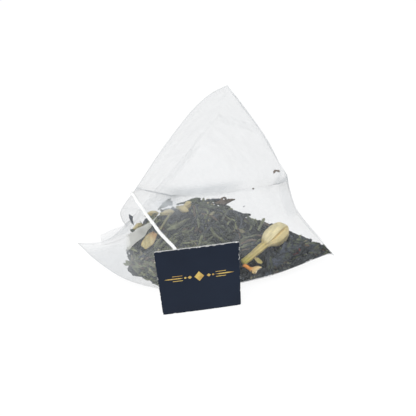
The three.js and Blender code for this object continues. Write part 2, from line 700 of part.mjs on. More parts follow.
// A small dried flower: a stalk that opens into a lobed head
function blossom() {
  const spec = {
    length: blossomLength, headLength: blossomLength * 0.45, headRadius: blossomRadius,
    tubeRadius: blossomRadius * 0.36, lobes: 0.1, sides: 10,
  };
  const start = behindMesh(0.655, 0.915, 0.3);
  const end = behindMesh(0.735, 0.935, 0.8);
  addLoose('orange_blossom', (grow) => bud(spec, grow), material('blossom', 0.6), start,
    turnTo(vec(0, 1, 0), end.sub(start)));
}

// Curled leaves that lie on the heap: across, back, heading, length, twist and colour
const leafPlaces = [
  [0.163, 0.157, 0.3, 6.0, 1.2, 'brownLeaf'], [0.366, 0.126, 1.9, 5.0, 0.4, 'leaf'],
  [-0.196, 0.015, 0.7, 8.0, 1.6, 'oliveLeaf'], [0.005, 0.101, 2.7, 6.5, 1.1, 'leaf'],
  [0.752, 0.051, 0.2, 6.0, 0.9, 'leaf'], [0.453, 0.13, 1.2, 6.0, 1.4, 'oliveLeaf'],
  [-0.13, 0.22, 0.4, 7.5, 1.0, 'leaf'], [0.15, 0.3, 2.1, 6.5, 1.3, 'brownLeaf'],
  [-0.32, 0.21, 1.0, 6.0, 0.8, 'leaf'], [0.3, 0.22, 0.1, 6.0, 1.2, 'leaf'],
];

function looseLeaves() {
  leafPlaces.forEach(([across, back, heading, length, twist, colour], index) => {
    const half = vec(Math.cos(heading), Math.sin(heading), 0).multiplyScalar(length / 2);
    const middle = onHeap(across, back, leafWidth / 2);
    const spec = { length, width: leafWidth, curl: 0.6, twist, ends: 0.3, steps: 6 };
    addBlade(`curled_leaf_${String(index + 1).padStart(2, '0')}`, spec, leafThickness,
      material(colour, 0.75), middle.clone().sub(half), middle.clone().add(half), up);
  });
}

// Bits of stem: each place is across, back and its height over the heap
const stemPlaces = [
  [[-0.58, 0.149, 0.9], [-0.59, 0.155, 2.6], [-0.6, 0.16, 4.2]],
  [[-0.354, -0.035, 0.5], [-0.296, 0.013, 0.8], [-0.263, 0.072, 0.5]],
  [[0.13, 0.03, 0.5], [0.157, 0.055, 0.9], [0.17, 0.09, 0.6]],
];

function looseStems() {
  stemPlaces.forEach((places, index) => {
    const route = places.map((place) => onHeap(...place));
    const start = route[1].clone();
    route.forEach((point) => point.sub(start));
    const make = (grow) => {
      const ends = route.map((point) => point.clone().setLength(point.length() + grow));
      ends[1].set(0, 0, 0);
      return tube(ends.map((point) => point.toArray()), stemDiameter + 2 * grow, 6, 4);
    };
    addLoose(`stem_${index + 1}`, make, material('stem', 0.7), start);
  });
}

// A solid without the crumbs that cutting leaves loose beside it
function largestBody(solid) {
  const bodies = solid.decompose().sort((a, b) => b.volume() - a.volume());
  return bodies[0];
}

// The heap fills the room up to its top, with curled leaves standing out of it
function teaHeap() {
  let heap = solidOf(heapField(20, 16));
  for (let index = 0; index < heapLeafCount; index += 1) {
    const x = chance(-0.56, 0.83) * (pouchWidth / 2);
    const y = chance(-0.15, 0.45) * rearReach;
    const spec = {
      length: chance(4, 8), width: chance(1.2, 2.2), curl: chance(0.5, 1.6),
      twist: chance(-1.6, 1.6), ends: 0.3, steps: 4,
    };
    const leaf = blade(spec, leafThickness * 1.4);
    leaf.rotateX(chance(-0.8, 0.8));
    leaf.rotateY(chance(-0.3, 0.3));
    leaf.rotateZ(chance(0, Math.PI));
    leaf.translate(x, y, heapTop(x, y) + 0.1);
    heap = heap.add(solidOf(leaf));
  }
  heap = heap.intersect(solidOf(insetSkin(skin, wall + fillGap, fillShare)));
  pockets.forEach((pocket) => {
    heap = heap.subtract(pocket);
  });
  return geometryOf(largestBody(solidOf(geometryOf(largestBody(heap)))));
}

blossom();
largeBud();
smallBuds();
petalsAndScraps();
looseLeaves();
looseStems();
addPiece('tea_heap', teaHeap(), material('tea', 0.85));

function addTag() {
  const [right, top, cut] = [tagWidth, tagHeight, tagCorner];
  const outline = new THREE.Shape([
    [0, cut], [cut, 0], [right - cut, 0], [right, cut],
    [right, top - cut], [right - cut, top], [cut, top], [0, top - cut],
  ].map(([x, y]) => new THREE.Vector2(x, y)));
  const card = new THREE.ExtrudeGeometry(outline, { depth: tagThickness, bevelEnabled: false });
  const turn = new THREE.Matrix4().makeRotationZ(radians(tagYaw))
    .multiply(new THREE.Matrix4().makeRotationX(radians(90 - tagLean)))
    .multiply(new THREE.Matrix4().makeRotationZ(radians(tagRoll)));
  // It stands on the cut of its left corner
  const lowest = vec(cut, 0, tagThickness).applyMatrix4(turn);
  const foot = vec(...tagFoot, -Math.min(0, lowest.z));
  const rotation = new THREE.Quaternion().setFromRotationMatrix(turn);
  addPiece('paper_tag', card, material('card', 0.8), foot, rotation);
}

addTag();
addPiece('string', tube(stringRoute, stringDiameter, 8, 24), material('cotton', 0.9));

// The bag's own box is centred over the origin
skin.computeBoundingBox();
const middle = skin.boundingBox.getCenter(vec());
teaBag.position.set(-middle.x, -middle.y, 0);

export default teaBag;
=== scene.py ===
"""The looks of a pyramid tea bag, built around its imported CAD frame: sheer woven mesh, loose
curled tea with jasmine buds and petals, a cotton string and a printed paper tag."""

import math

import bmesh
import bpy
import numpy as np
from mathutils import Matrix, Vector, noise
from mathutils.bvhtree import BVHTree
from mathutils.kdtree import KDTree


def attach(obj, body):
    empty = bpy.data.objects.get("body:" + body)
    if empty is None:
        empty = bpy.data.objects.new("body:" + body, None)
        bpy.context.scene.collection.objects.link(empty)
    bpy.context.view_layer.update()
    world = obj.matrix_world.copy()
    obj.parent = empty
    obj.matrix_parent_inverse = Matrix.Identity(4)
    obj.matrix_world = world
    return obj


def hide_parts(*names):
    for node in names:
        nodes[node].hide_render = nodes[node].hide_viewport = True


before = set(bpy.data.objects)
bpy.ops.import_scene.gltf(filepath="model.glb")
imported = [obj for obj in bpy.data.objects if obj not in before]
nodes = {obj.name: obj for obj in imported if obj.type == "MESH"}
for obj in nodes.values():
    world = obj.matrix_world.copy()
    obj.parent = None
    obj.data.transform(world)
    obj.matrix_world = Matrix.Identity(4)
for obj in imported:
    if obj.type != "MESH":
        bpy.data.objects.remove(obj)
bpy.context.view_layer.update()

# shapes are worked out in millimetres in the frame's axes, and mm turns them into metres
mm = 0.001
rng = np.random.default_rng(23)


# maths
def unit(v):
    v = np.asarray(v, float)
    return v / np.maximum(np.linalg.norm(v, axis=-1, keepdims=True), 1e-12)


def bell(x, width):
    return np.exp(-((np.asarray(x, float) / width) ** 2))


def ease(low, high, x):
    """0 at low and beyond it, 1 at high and beyond it, and a smooth step between them."""
    t = np.clip((np.asarray(x, float) - low) / (high - low), 0, 1)
    return t * t * (3 - 2 * t)


def shares(count):
    return np.linspace(0, 1, count)


def around(count):
    """Angles spread evenly over a full turn."""
    return np.linspace(0, 2 * np.pi, count, endpoint=False)


def stacked(*parts):
    """Coordinates broadcast to one shape and put together on a last axis."""
    return np.stack(np.broadcast_arrays(*parts), -1)


def mixed(first, second, share):
    """Colours that go from first to second as share goes from 0 to 1."""
    first = np.asarray(first, float)
    return first + (np.asarray(second, float) - first) * share[..., None]


def undulation(points, scale, offset):
    """Smooth seeded noise, from -1 to 1, at points in millimetres."""
    flat = points.reshape(-1, 3)
    values = [noise.noise(Vector(p) / scale + Vector((offset, 0, 0))) for p in flat]
    return np.array(values).reshape(points.shape[:-1])


def lengths_along(line):
    """The length from a line's first point to each of its points."""
    return np.concatenate([[0], np.cumsum(np.linalg.norm(np.diff(line, axis=0), axis=1))])


def catmull(points, per_span=48):
    """A smooth curve through points, with its speed even from point to point."""
    p = np.asarray(points, float)
    p = np.vstack([2 * p[0] - p[1], p, 2 * p[-1] - p[-2]])
    out = []
    for a, b, c, d in zip(p[:-3], p[1:-2], p[2:-1], p[3:]):
        d0, d1, d2 = (max(np.linalg.norm(v) ** 0.5, 1e-4) for v in (b - a, c - b, d - c))
        m1 = d1 * ((b - a) / d0 - (c - a) / (d0 + d1) + (c - b) / d1)
        m2 = d1 * ((c - b) / d1 - (d - b) / (d1 + d2) + (d - c) / d2)
        u = np.linspace(0, 1, per_span, endpoint=False)[:, None]
        square = (-3 * b + 3 * c - 2 * m1 - m2) * u**2
        out.append(b + m1 * u + square + (2 * b - 2 * c + m1 + m2) * u**3)
    out.append(p[-2][None])
    return np.vstack(out)


class Route:
    """A curve that is read by its share of length from start to end."""

    def __init__(self, points):
        self.fine = catmull(points)
        self.run = lengths_along(self.fine)
        self.length = self.run[-1]

    def at(self, share):
        where = np.asarray(share, float) * self.length
        return np.stack([np.interp(where, self.run, column) for column in self.fine.T], -1)

    def reversed(self):
        other = Route.__new__(Route)
        other.fine, other.length = self.fine[::-1], self.length
        other.run = self.length - self.run[::-1]
        return other


# objects
def linked(name, data):
    """A new object in the scene that holds the data."""
    made = bpy.data.objects.new(name, data)
    bpy.context.scene.collection.objects.link(made)
    return made


def aimed(way):
    """The turn that makes a camera or a lamp look along way."""
    return way.to_track_quat("-Z", "Y").to_euler()


def make_piece(name, replaced, points, faces, materials, values=None, uv=None, smooth=True, picks=None):
    """A piece from points in millimetres, which hides the CAD node that it replaces, if there is one.
    values are floats or colours per point, and uv is per point or per corner of a face."""
    mesh = bpy.data.meshes.new(name)
    mesh.from_pydata((np.asarray(points, float) * mm).tolist(), [], [list(map(int, f)) for f in faces])
    for material in materials:
        mesh.materials.append(material)
    if picks is not None:
        mesh.polygons.foreach_set("material_index", np.asarray(picks, np.int32))
    mesh.polygons.foreach_set("use_smooth", [smooth] * len(mesh.polygons))
    for key, numbers in (values or {}).items():
        numbers = np.asarray(numbers, np.float32)
        if numbers.ndim == 1:
            mesh.attributes.new(key, "FLOAT", "POINT").data.foreach_set("value", numbers)
        else:
            rgba = np.concatenate([numbers, np.ones((len(numbers), 1), np.float32)], axis=1)
            mesh.color_attributes.new(key, "FLOAT_COLOR", "POINT").data.foreach_set("color", rgba.ravel())
    if uv is not None:
        uv = np.asarray(uv, np.float32)
        if len(uv) == len(points):
            corner = np.zeros(len(mesh.loops), np.int32)
            mesh.loops.foreach_get("vertex_index", corner)
            uv = uv[corner]
        mesh.uv_layers.new(name="UVMap").data.foreach_set("uv", uv.ravel())
    mesh.update()
    piece = linked(name, mesh)
    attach(piece, "root")
    if replaced:
        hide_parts(replaced)
    return piece


def grid_faces(row_count, column_count, start=0, flip=False):
    """Quads between the points of a grid, whose points are numbered from start."""
    r, c = np.meshgrid(np.arange(row_count - 1), np.arange(column_count - 1), indexing="ij")
    a = (start + r * column_count + c).ravel()
    quads = np.stack([a, a + column_count, a + column_count + 1, a + 1], -1)
    return quads[:, ::-1] if flip else quads


def rim_of(row_count, column_count):
    """The numbers of a grid's outermost points, in order around it."""
    index = np.arange(row_count * column_count).reshape(row_count, column_count)
    return np.concatenate([index[0], index[1:, -1], index[-1, -2::-1], index[-2:0:-1, 0]]).tolist()


def ring_faces(rings, sides):
    """Quads between rings of points, each of which closes on itself."""
    r, c = np.meshgrid(np.arange(rings - 1), np.arange(sides), indexing="ij")
    a = (r * sides + c).ravel()
    b = (r * sides + (c + 1) % sides).ravel()
    return np.stack([a, b, b + sides, a + sides], -1).tolist()


def capped_faces(rings, sides):
    """The faces between rings, with one more face over each end."""
    last = (rings - 1) * sides
    return ring_faces(rings, sides) + [list(range(sides))[::-1], list(range(last, last + sides))]


class Shader:
    """The nodes of a material or world, with a short call for each kind that repeats."""

    def __init__(self, name, kind="materials"):
        self.owner = getattr(bpy.data, kind).new(name)
        self.owner.use_nodes = True
        self.tree = self.owner.node_tree
        self.tree.nodes.clear()

    def node(self, kind, inputs=None, **settings):
        """A node with its settings and inputs. An input that is a socket is linked."""
        made = self.tree.nodes.new("ShaderNode" + kind)
        for key, value in settings.items():
            setattr(made, key, value)
        for key, value in (inputs or {}).items():
            if isinstance(value, bpy.types.NodeSocket):
                self.tree.links.new(value, made.inputs[key])
            else:
                made.inputs[key].default_value = value
        return made

    def add(self, kind, inputs=None, output=0, **settings):
        """One output of a new node."""
        return self.node(kind, inputs, **settings).outputs[output]

    def maths(self, operation, *values, clamp=False):
        return self.add("Math", dict(enumerate(values)), operation=operation, use_clamp=clamp)

    def attribute(self, name, output="Fac"):
        return self.add("Attribute", output=output, attribute_name=name)

    def ranged(self, value, from_low, from_high, low, high, **settings):
        """value, with from_low to from_high carried over to low to high."""
        ends = {"From Min": from_low, "From Max": from_high, "To Min": low, "To Max": high}
        return self.add("MapRange", {"Value": value, **ends}, **settings)

    def scaled(self, colour, amount):
        return self.add("VectorMath", {0: colour, "Scale": amount}, operation="SCALE")

    def cloud(self, scale, detail, roughness=0.5, stretch=None):
        """Noise over the object's own space, or over its UV map scaled by stretch."""
        if stretch is None:
            place = self.add("TexCoord", output="Object")
        else:
            uv = self.add("UVMap", uv_map="UVMap")
            place = self.add("Mapping", {"Vector": uv, "Scale": stretch})
        inputs = {"Vector": place, "Scale": scale, "Detail": detail, "Roughness": roughness}
        return self.add("TexNoise", inputs)

    def seen_directly(self):
        """1 for rays from the camera and for those that show the background in gloss or glass."""
        path = self.node("LightPath").outputs
        either = self.maths("MAXIMUM", path["Is Camera Ray"], path["Is Glossy Ray"])
        return self.maths("MAXIMUM", either, path["Is Transmission Ray"])

    def finish(self, surface, kind="OutputMaterial"):
        """The owner, with its surface in place."""
        self.node(kind, {"Surface": surface})
        return self.owner

    def bumped(self, colour, roughness, gloss, height, strength, depth, more=None):
        """The owner, with a Principled surface that is bumped by height, and more inputs of its own."""
        bump = self.add("Bump", {"Height": height, "Strength": strength, "Distance": depth})
        inputs = {"Base Color": colour, "Roughness": roughness, "Specular IOR Level": gloss, "Normal": bump}
        return self.finish(self.add("BsdfPrincipled", {**inputs, **(more or {})}))


# camera, stage and light
view_target = Vector((1.1, -19.69, 18.0)) * mm
view_elevation = math.radians(38)
view_distance = 158 * mm
focal_pixels = 560
photo_pixels = 416
sensor_width = 36
view_way = Vector((0, math.cos(view_elevation), -math.sin(view_elevation)))
camera_up = Vector((0, math.sin(view_elevation), math.cos(view_elevation)))
to_camera = -np.array(view_way)

camera_data = bpy.data.cameras.new("camera")
camera_data.sensor_width = sensor_width
camera_data.lens = focal_pixels * sensor_width / photo_pixels
camera_data.clip_start = 5 * mm
camera = linked("camera", camera_data)
camera.location = view_target - view_distance * view_way
camera.rotation_euler = aimed(view_way)
bpy.context.scene.camera = camera
bpy.context.scene.view_settings.view_transform = "Standard"


def picture_at(points):
    """Where points in millimetres lie in the front picture, in pixels from its top left corner."""
    off = np.asarray(points, float) - np.array(camera.location) / mm
    depth = off @ np.array(view_way)
    middle = photo_pixels / 2
    column = middle + focal_pixels * off[..., 0] / depth
    row = middle - focal_pixels * (off @ np.array(camera_up)) / depth
    return column, row


def floor_material():
    """White, with the object's shadow kept faint."""
    shadow_share, lift = 0.14, 0.05
    shader = Shader("floor")
    pale = shader.add("BsdfDiffuse", {"Color": (0.8, 0.8, 0.8, 1)})
    glow = shader.add("Emission", {"Color": (1, 1, 1, 1), "Strength": 1.0})
    faint = shader.add("MixShader", {"Fac": shadow_share, 1: glow, 2: pale})
    more = shader.add("Emission", {"Color": (1, 1, 1, 1), "Strength": lift})
    shown = shader.add("AddShader", {0: faint, 1: more})
    return shader.finish(shader.add("MixShader", {"Fac": shader.seen_directly(), 1: pale, 2: shown}))


def studio_world():
    """A soft cool light all round, which looks plain white from the camera."""
    shader = Shader("studio", "worlds")
    white = shader.add("Background", {"Color": (1, 1, 1, 1), "Strength": 1.0})
    soft = shader.add("Background", {"Color": (0.93, 0.96, 1, 1), "Strength": 0.58})
    mix = shader.add("MixShader", {"Fac": shader.seen_directly(), 1: soft, 2: white})
    return shader.finish(mix, "OutputWorld")


def stage():
    reach, drop = 1.5, 0.1 * mm
    corners = [(-reach, -reach), (reach, -reach), (reach, reach), (-reach, reach)]
    mesh = bpy.data.meshes.new("floor")
    mesh.from_pydata([(x, y, -drop) for x, y in corners], [], [(0, 1, 2, 3)])
    mesh.materials.append(floor_material())
    floor = linked("floor", mesh)
    bpy.context.scene.world = studio_world()
    aim = Vector((0, 0, 15)) * mm
    for name, place, size, power in [
        ("key", (-0.22, -0.34, 0.62), 0.42, 3.6),
        ("fill", (0.5, -0.2, 0.42), 0.5, 0.9),
    ]:
        light = bpy.data.lights.new(name, "AREA")
        light.size = size
        light.energy = power
        lamp = linked(name, light)
        lamp.location = place
        lamp.rotation_euler = aimed(aim - Vector(place))


stage()

# the pouch's corners, folds and seals, as part.mjs shapes them
pouch_back = -22.64  # the frame's zero lies this far behind the front corners' mean
apex = np.array([6.3, 17.0 + pouch_back, 48.8])
front_left = np.array([-37.6, 2.75 + pouch_back, 5.0])
front_right = np.array([37.6, -2.75 + pouch_back, 5.0])
rear = np.array([-0.9, 60.0 + pouch_back, 4.0])
pouch_width = front_right[0] - front_left[0]


def edge(start, end, bends):
    """A fold or seal from corner to corner. Each bend is a share of the way and how far it is off."""
    inner = [start + (end - start) * share + np.array([x, y, z]) for share, x, y, z in bends]
    return Route([start, *inner, end])


left_fold = edge(apex, front_left, [
    (0.06, -1.2, 0.1, 1.0), (0.15, -1.9, -0.7, 1.8), (0.24, -1.7, -1.4, 1.9),
    (0.40, -0.9, -2.1, 1.3), (0.59, 0.7, -4.6, 1.1), (0.71, 1.6, -3.1, -0.3),
    (0.74, 2.1, -2.5, -1.2), (0.76, 3.4, -2.2, -3.1), (0.78, 5.1, -2.3, -4.2),
    (0.83, 4.7, -2.8, -3.6), (0.92, 3.4, -2.1, -2.5)])
right_seal = edge(apex, front_right, [
    (0.16, 0.7, 0.2, 0.3), (0.31, 1.0, -0.5, 1.0), (0.48, 0.3, -1.3, 1.1),
    (0.50, 0.6, -2.6, 1.5), (0.57, -0.5, -1.8, 0.2), (0.69, -1.8, -1.8, -0.8),
    (0.80, -1.6, -2.2, -0.2), (0.90, -0.7, -2.5, 0.8)])
front_fold = edge(front_left, front_right, [
    (0.10, -0.2, -6.8, -0.8), (0.21, -0.9, -11.6, -1.6), (0.34, -1.3, -14.1, -2.0),
    (0.46, -0.9, -15.0, -2.0), (0.56, -0.9, -13.6, -2.0), (0.65, -1.1, -10.6, -2.0),
    (0.76, -0.9, -7.4, -2.0), (0.87, -0.6, -3.4, -1.4), (0.98, 0.4, 1.0, -0.5)])
rear_fold = edge(apex, rear, [(0.22, 0.8, 0.3, 0.1), (0.55, 1.0, -0.2, -0.2), (0.85, 0.3, -0.4, -0.2)])
left_seal = edge(front_left, rear, [
    (0.05, 5.4, -3.5, 0.0), (0.15, 8.2, -5.5, -0.2), (0.27, 7.3, -4.5, -0.5),
    (0.49, 4.7, -3.3, -0.5), (0.78, 2.1, -1.2, -0.2)])
right_fold = edge(front_right, rear, [
    (0.09, 0.5, 0.5, -0.5), (0.22, 0.5, 0.7, -0.8), (0.47, 1.1, 0.8, -0.5), (0.77, 1.1, 0.7, -0.2)])


# the pouch's panels
class Panel:
    """A panel of mesh between three edges, as in part.mjs."""

    def __init__(self, left, right, far, outward, swell):
        self.left, self.right, self.far, self.swell = left, right, far, swell
        self.tip, self.left_end, self.right_end = left.at(0), left.at(1), right.at(1)
        normal = unit(np.cross(self.left_end - self.tip, self.right_end - self.tip))
        self.normal = normal if normal @ np.array(outward) > 0 else -normal

    def at(self, across, down, lift=0.0):
        """Points at shares across and down the panel, lifted off it along its normal."""
        s, t = np.broadcast_arrays(np.asarray(across, float), np.asarray(down, float))
        s1, t1 = s[..., None], t[..., None]
        flat_left = self.tip + (self.left_end - self.tip) * t1
        flat_right = self.tip + (self.right_end - self.tip) * t1
        flat_far = self.left_end + (self.right_end - self.left_end) * s1
        point = flat_left + (flat_right - flat_left) * s1
        point = point + (self.left.at(t) - flat_left) * (1 - s1) ** 2.5
        point = point + (self.right.at(t) - flat_right) * s1**2.5
        point = point + (self.far.at(s) - flat_far) * t1**2.5
        inside = np.clip(27 * (1 - t) * t * (1 - s) * t * s, 0, None)
        return self.swell(self, point, s, t, inside) + self.normal * np.asarray(lift)[..., None]


def off_edges(s, t):
    """1 inside a panel and 0 at its edges."""
    across = np.clip(8 * s, 0, 1) * np.clip(8 * (1 - s), 0, 1)
    return across * np.clip(10 * (1 - t), 0, 1) * np.clip(6 * t, 0, 1)


def front_swell(panel, point, s, t, inside):
    """The filled front panel, with the cross crease, the slump over it and smaller creases."""
    sides = np.minimum(1, np.minimum(14 * s, 14 * (1 - s)))
    depth = sides * (0.45 + 0.9 * bell(s - 0.2, 0.2) + 0.6 * bell(s - 0.93, 0.12))
    below = t - (0.54 + 0.026 * bell(s - 0.38, 0.3))
    lip = 1.3 * bell(below + 0.05, 0.06) - 1.3 * bell(below - 0.035, 0.045)
    filled = 2 * 4 * s * (1 - s) * 12.2 * t**4 * (1 - t)
    out = 1.5 * inside + depth * lip + filled
    # the slumped upper panel hangs a little over the crease
    strength = sides * (0.25 + 0.75 * ease(0.42, 0.2, s) + 0.7 * ease(0.82, 0.95, s))
    way = unit(panel.left_end + panel.right_end - 2 * panel.tip)
    tuck = strength * (0.8 * bell(below + 0.012, 0.012) - 0.5 * bell(below - 0.012, 0.012))
    # creases that fan out from the pressed corner and from the ends of the cross crease
    ripple = 0.28 * undulation(point, 9.0, 3.1) + 0.1 * undulation(point * [1, 1, 1.8], 3.2, 8.4)
    angle = np.arctan2(t - 0.83, s + 0.03)
    fan = 0.16 * np.sin(26 * angle + 0.8) * bell(np.hypot(s, t - 0.83), 0.24)
    near_crease = 0.14 * np.sin(70 * s + 16 * t) * bell(below - 0.02, 0.06)
    out = out + off_edges(s, t) * (ripple + fan + near_crease)
    return point + panel.normal * out[..., None] + way * tuck[..., None]


def side_swell(panel, point, s, t, inside):
    """A rear panel, crowned and lightly rippled."""
    ripple = off_edges(s, t) * (0.3 * undulation(point, 10.0, 5.7) + 0.1 * undulation(point, 3.5, 1.9))
    return point + panel.normal * (2.6 * inside + ripple)[..., None]


def left_swell(panel, point, s, t, inside):
    """The left rear panel, with its belly beside the pressed corner."""
    within = np.minimum(1, np.minimum(12 * s, 9 * (1 - t)))
    belly = within * 1.5 * bell(s - 0.13, 0.1) * bell(t - 0.84, 0.14)
    return side_swell(panel, point, s, t, inside) + panel.normal * belly[..., None]


def base_swell(panel, point, s, t, inside):
    """The sagged base, which lies flat where it rests."""
    moved = point.copy()
    moved[..., 2] = np.maximum(0, point[..., 2] - 7.5 * inside**0.6)
    return moved


front_panel = Panel(left_fold, right_seal, front_fold, (0, -1, 0.4), front_swell)
left_panel = Panel(left_fold, rear_fold, left_seal, (-1, 0.5, 0.4), left_swell)
right_panel = Panel(right_seal, rear_fold, right_fold, (1, 0.5, 0.4), side_swell)
base_panel = Panel(left_seal.reversed(), right_fold.reversed(), front_fold, (0, 0, -1), base_swell)

# the mesh sheet
panel_columns, panel_rows = 101, 131
weave_pitch = 0.32
seam_width = 4.0
left_margin, left_margin_more = 2.7, 1.75
right_margin = 2.8
layer_step = 0.1
front_folds = [left_fold, right_seal, front_fold]
rear_folds = [rear_fold, left_seal, right_fold]
rear_softness = 0.35
wedge_fade_columns = (131, 121)  # in the front picture, the turned-over corner fades out leftward


def mesh_material(name, colour, holes, threads, folds):
    """Woven monofilament: pale threads with open holes between them. holes, threads and folds say how
    much each covers. The haze attribute adds cover where layers lie on each other, and the edge
    attribute is the distance to a fold."""
    shader = Shader(name)
    place = shader.node("SeparateXYZ", {0: shader.add("UVMap", uv_map="UVMap")}).outputs
    rows = []
    for axis in ("X", "Y"):
        cell = shader.maths("FRACT", shader.maths("MULTIPLY", place[axis], 1 / weave_pitch))
        off = shader.maths("ABSOLUTE", shader.maths("SUBTRACT", cell, 0.5))
        rows.append(shader.ranged(off, 0.36, 0.42, 0.0, 1.0, interpolation_type="SMOOTHSTEP"))
    weave = shader.maths("MAXIMUM", *rows)
    cloud = shader.cloud(160.0, 3.0)
    cover = shader.maths("MULTIPLY", shader.ranged(weave, 0.0, 1.0, holes, threads),
                         shader.ranged(cloud, 0.3, 0.7, 0.86, 1.14))
    line = shader.ranged(shader.attribute("edge"), 0.1, 0.55, folds, 0.0)
    alpha = shader.maths("ADD", shader.maths("ADD", cover, shader.attribute("haze")), line, clamp=True)
    tone = shader.scaled(colour, shader.ranged(cloud, 0.3, 0.7, 0.94, 1.06))
    return shader.bumped(tone, 0.5, 0.3, weave, 0.35, 5e-5, {"Alpha": alpha})


# the threads are white; the sheer mesh's grey colour is painted shade, the dim look of its lit threads
sheer = mesh_material("sheer_mesh", (0.47, 0.49, 0.505), holes=0.07, threads=0.3, folds=0.11)
layered = mesh_material("layered_mesh", (0.66, 0.66, 0.625), holes=0.4, threads=0.56, folds=0.06)


def near_curve(points, curves, spacing=0.12):
    """The distance from each point to the nearest of several curves."""
    samples = np.vstack([c.at(shares(int(c.length / spacing))) for c in curves])
    tree = KDTree(len(samples))
    for index, sample in enumerate(samples):
        tree.insert(sample, index)
    tree.balance()
    return np.array([tree.find(p)[2] for p in points.reshape(-1, 3)]).reshape(points.shape[:-1])


def fold_distance(grid):
    """How far the places of a grid lie from the folds. The softer rear folds count as farther."""
    return np.minimum(near_curve(grid, front_folds), near_curve(grid, rear_folds) + rear_softness)


def plain_uv(grid):
    """Lengths along a patch's rows and columns, in millimetres, for the weave."""
    right = np.linalg.norm(np.diff(grid, axis=1), axis=2)
    u = np.concatenate([np.zeros((grid.shape[0], 1)), np.cumsum(right, axis=1)], axis=1)
    u = u - u.mean(axis=1, keepdims=True)
    downward = np.linalg.norm(np.diff(grid, axis=0), axis=2).mean(axis=1)
    v = np.concatenate([[0], np.cumsum(downward)])
    return stacked(u, v[:, None])


class Cloth:
    """Patches of one sheet, gathered into one mesh."""

    def __init__(self):
        self.patches, self.count = [], 0

    def add(self, grid, haze, edge_off, pick=0, flip=False):
        """Takes a grid of points with its haze, its distance to a fold or rim, and its look's number."""
        shape = grid.shape[:2]
        faces = grid_faces(*shape, self.count, flip)
        uv = plain_uv(grid).reshape(-1, 2)
        haze, edge_off = (np.broadcast_to(values, shape).ravel() for values in (haze, edge_off))
        self.patches.append((grid.reshape(-1, 3), faces, uv, haze, edge_off, np.full(len(faces), pick)))
        self.count += shape[0] * shape[1]

    def joined(self):
        """The patches with their shared points merged: points, faces, corner UVs, haze, edge and looks.
        A shared point keeps its greatest haze and its shortest distance."""
        points, faces, uv, haze, edge_off, picks = (np.concatenate(part) for part in zip(*self.patches))
        _, first, back = np.unique(np.round(points, 3), axis=0, return_index=True, return_inverse=True)
        back = back.reshape(-1)
        most, least = np.full(len(first), -9.0), np.full(len(first), 9.0)
        np.maximum.at(most, back, haze)
        np.minimum.at(least, back, edge_off)
        return points[first], back[faces], uv[faces], most, least, picks


def crowded_rows(count):
    """Places from 0 to 1 that crowd together at the cross crease."""
    t = shares(2000)
    density = 1 + 2.4 * bell(t - 0.555, 0.045)
    run = np.concatenate([[0], np.cumsum((density[1:] + density[:-1]) / 2)])
    places = np.interp(np.linspace(0, run[-1], count), run, t)
    places[0], places[-1] = 0, 1
    return places


# how far down the front panel the line of the cross crease lies, by the share across
crease_across = [0, 0.152, 0.288, 0.342, 0.468, 0.62, 0.865, 0.92, 1.0]
crease_down = [0.545, 0.555, 0.574, 0.571, 0.562, 0.557, 0.55, 0.538, 0.512]


def front_haze(s, t):
    """How much more the front panel covers than one plain layer, from its folds and creases, with painted
    shade along the cross crease, in the band above it and in the pocket below it.
    """
    below = t - np.interp(s, crease_across, crease_down)
    # the line along the cross crease: its gathered layers, darkened further as a painted contact shadow
    line = 0.42 * ease(0.36, 0.22, s) + 0.16 * bell(s - 0.6, 0.16) + 0.36 * ease(0.86, 0.94, s) + 0.02
    line = line * bell(below, 0.011)
    # the band above the crease: the fold's doubled layer, with painted shade under the overhanging lip
    slump_layers_and_shade = 0.46 * bell(below + 0.028, 0.024) * ease(0.12, 0.32, s) * ease(0.78, 0.5, s)
    wrinkle = 0.3 * bell(below + 0.022 + 0.5 * (s - 0.93), 0.012) * bell(s - 0.93, 0.05)
    # the pocket below the crease at the left: an inner fold, darkened further as painted shade
    pocket_fold_and_shade = 0.55 * bell(s - 0.25, 0.075) * bell(t - 0.609, 0.032)
    second = 0.1 * bell(t - 0.662 + 0.09 * s, 0.008) * ease(0.27, 0.16, s)
    band = 0.16 * ease(0.05, 0.035, np.abs(s - 0.972)) * ease(0.49, 0.53, t) * ease(0.73, 0.69, t)
    under = 0.08 * bell(t - 0.68, 0.1) * bell(s - 0.4, 0.22)
    clear = -0.1 * ease(0.66, 0.84, t) * ease(0.4, 0.75, s)
    veiled_left = 0.06 * ease(0.34, 0.18, s) * ease(0.68, 0.78, t)
    low_left = 0.15 * ease(0.8, 0.9, t) * ease(0.02, 0.07, s) * ease(0.36, 0.18, s)
    veiled_right = 0.13 * bell(s - 0.7, 0.08) * bell(t - 0.8, 0.09)
    upper_side = 0.04 * ease(0.84, 0.99, s) * ease(0.62, 0.3, t)
    corner = -0.1 * ease(0.13, 0.02, s) * ease(0.74, 0.84, t)
    folded = line + slump_layers_and_shade + wrinkle + pocket_fold_and_shade + second + band
    return folded + under + clear + veiled_left + low_left + veiled_right + upper_side + corner


cloth = Cloth()


def add_panels():
    columns = shares(panel_columns)
    s, t = np.meshgrid(columns, crowded_rows(panel_rows))
    left_haze = 0.03 * ease(0.1, 0.0, s) - 0.1 * ease(0.3, 0.1, s) * ease(0.8, 0.92, t)
    for panel, haze, flip in ((front_panel, front_haze(s, t), True), (left_panel, left_haze, False),
                              (right_panel, 0.04 * ease(0.06, 0.02, s), True)):
        grid = panel.at(s, t)
        cloth.add(grid, haze, fold_distance(grid), flip=flip)
    grid = base_panel.at(*np.meshgrid(columns, columns))
    cloth.add(grid, 0.0, fold_distance(grid))


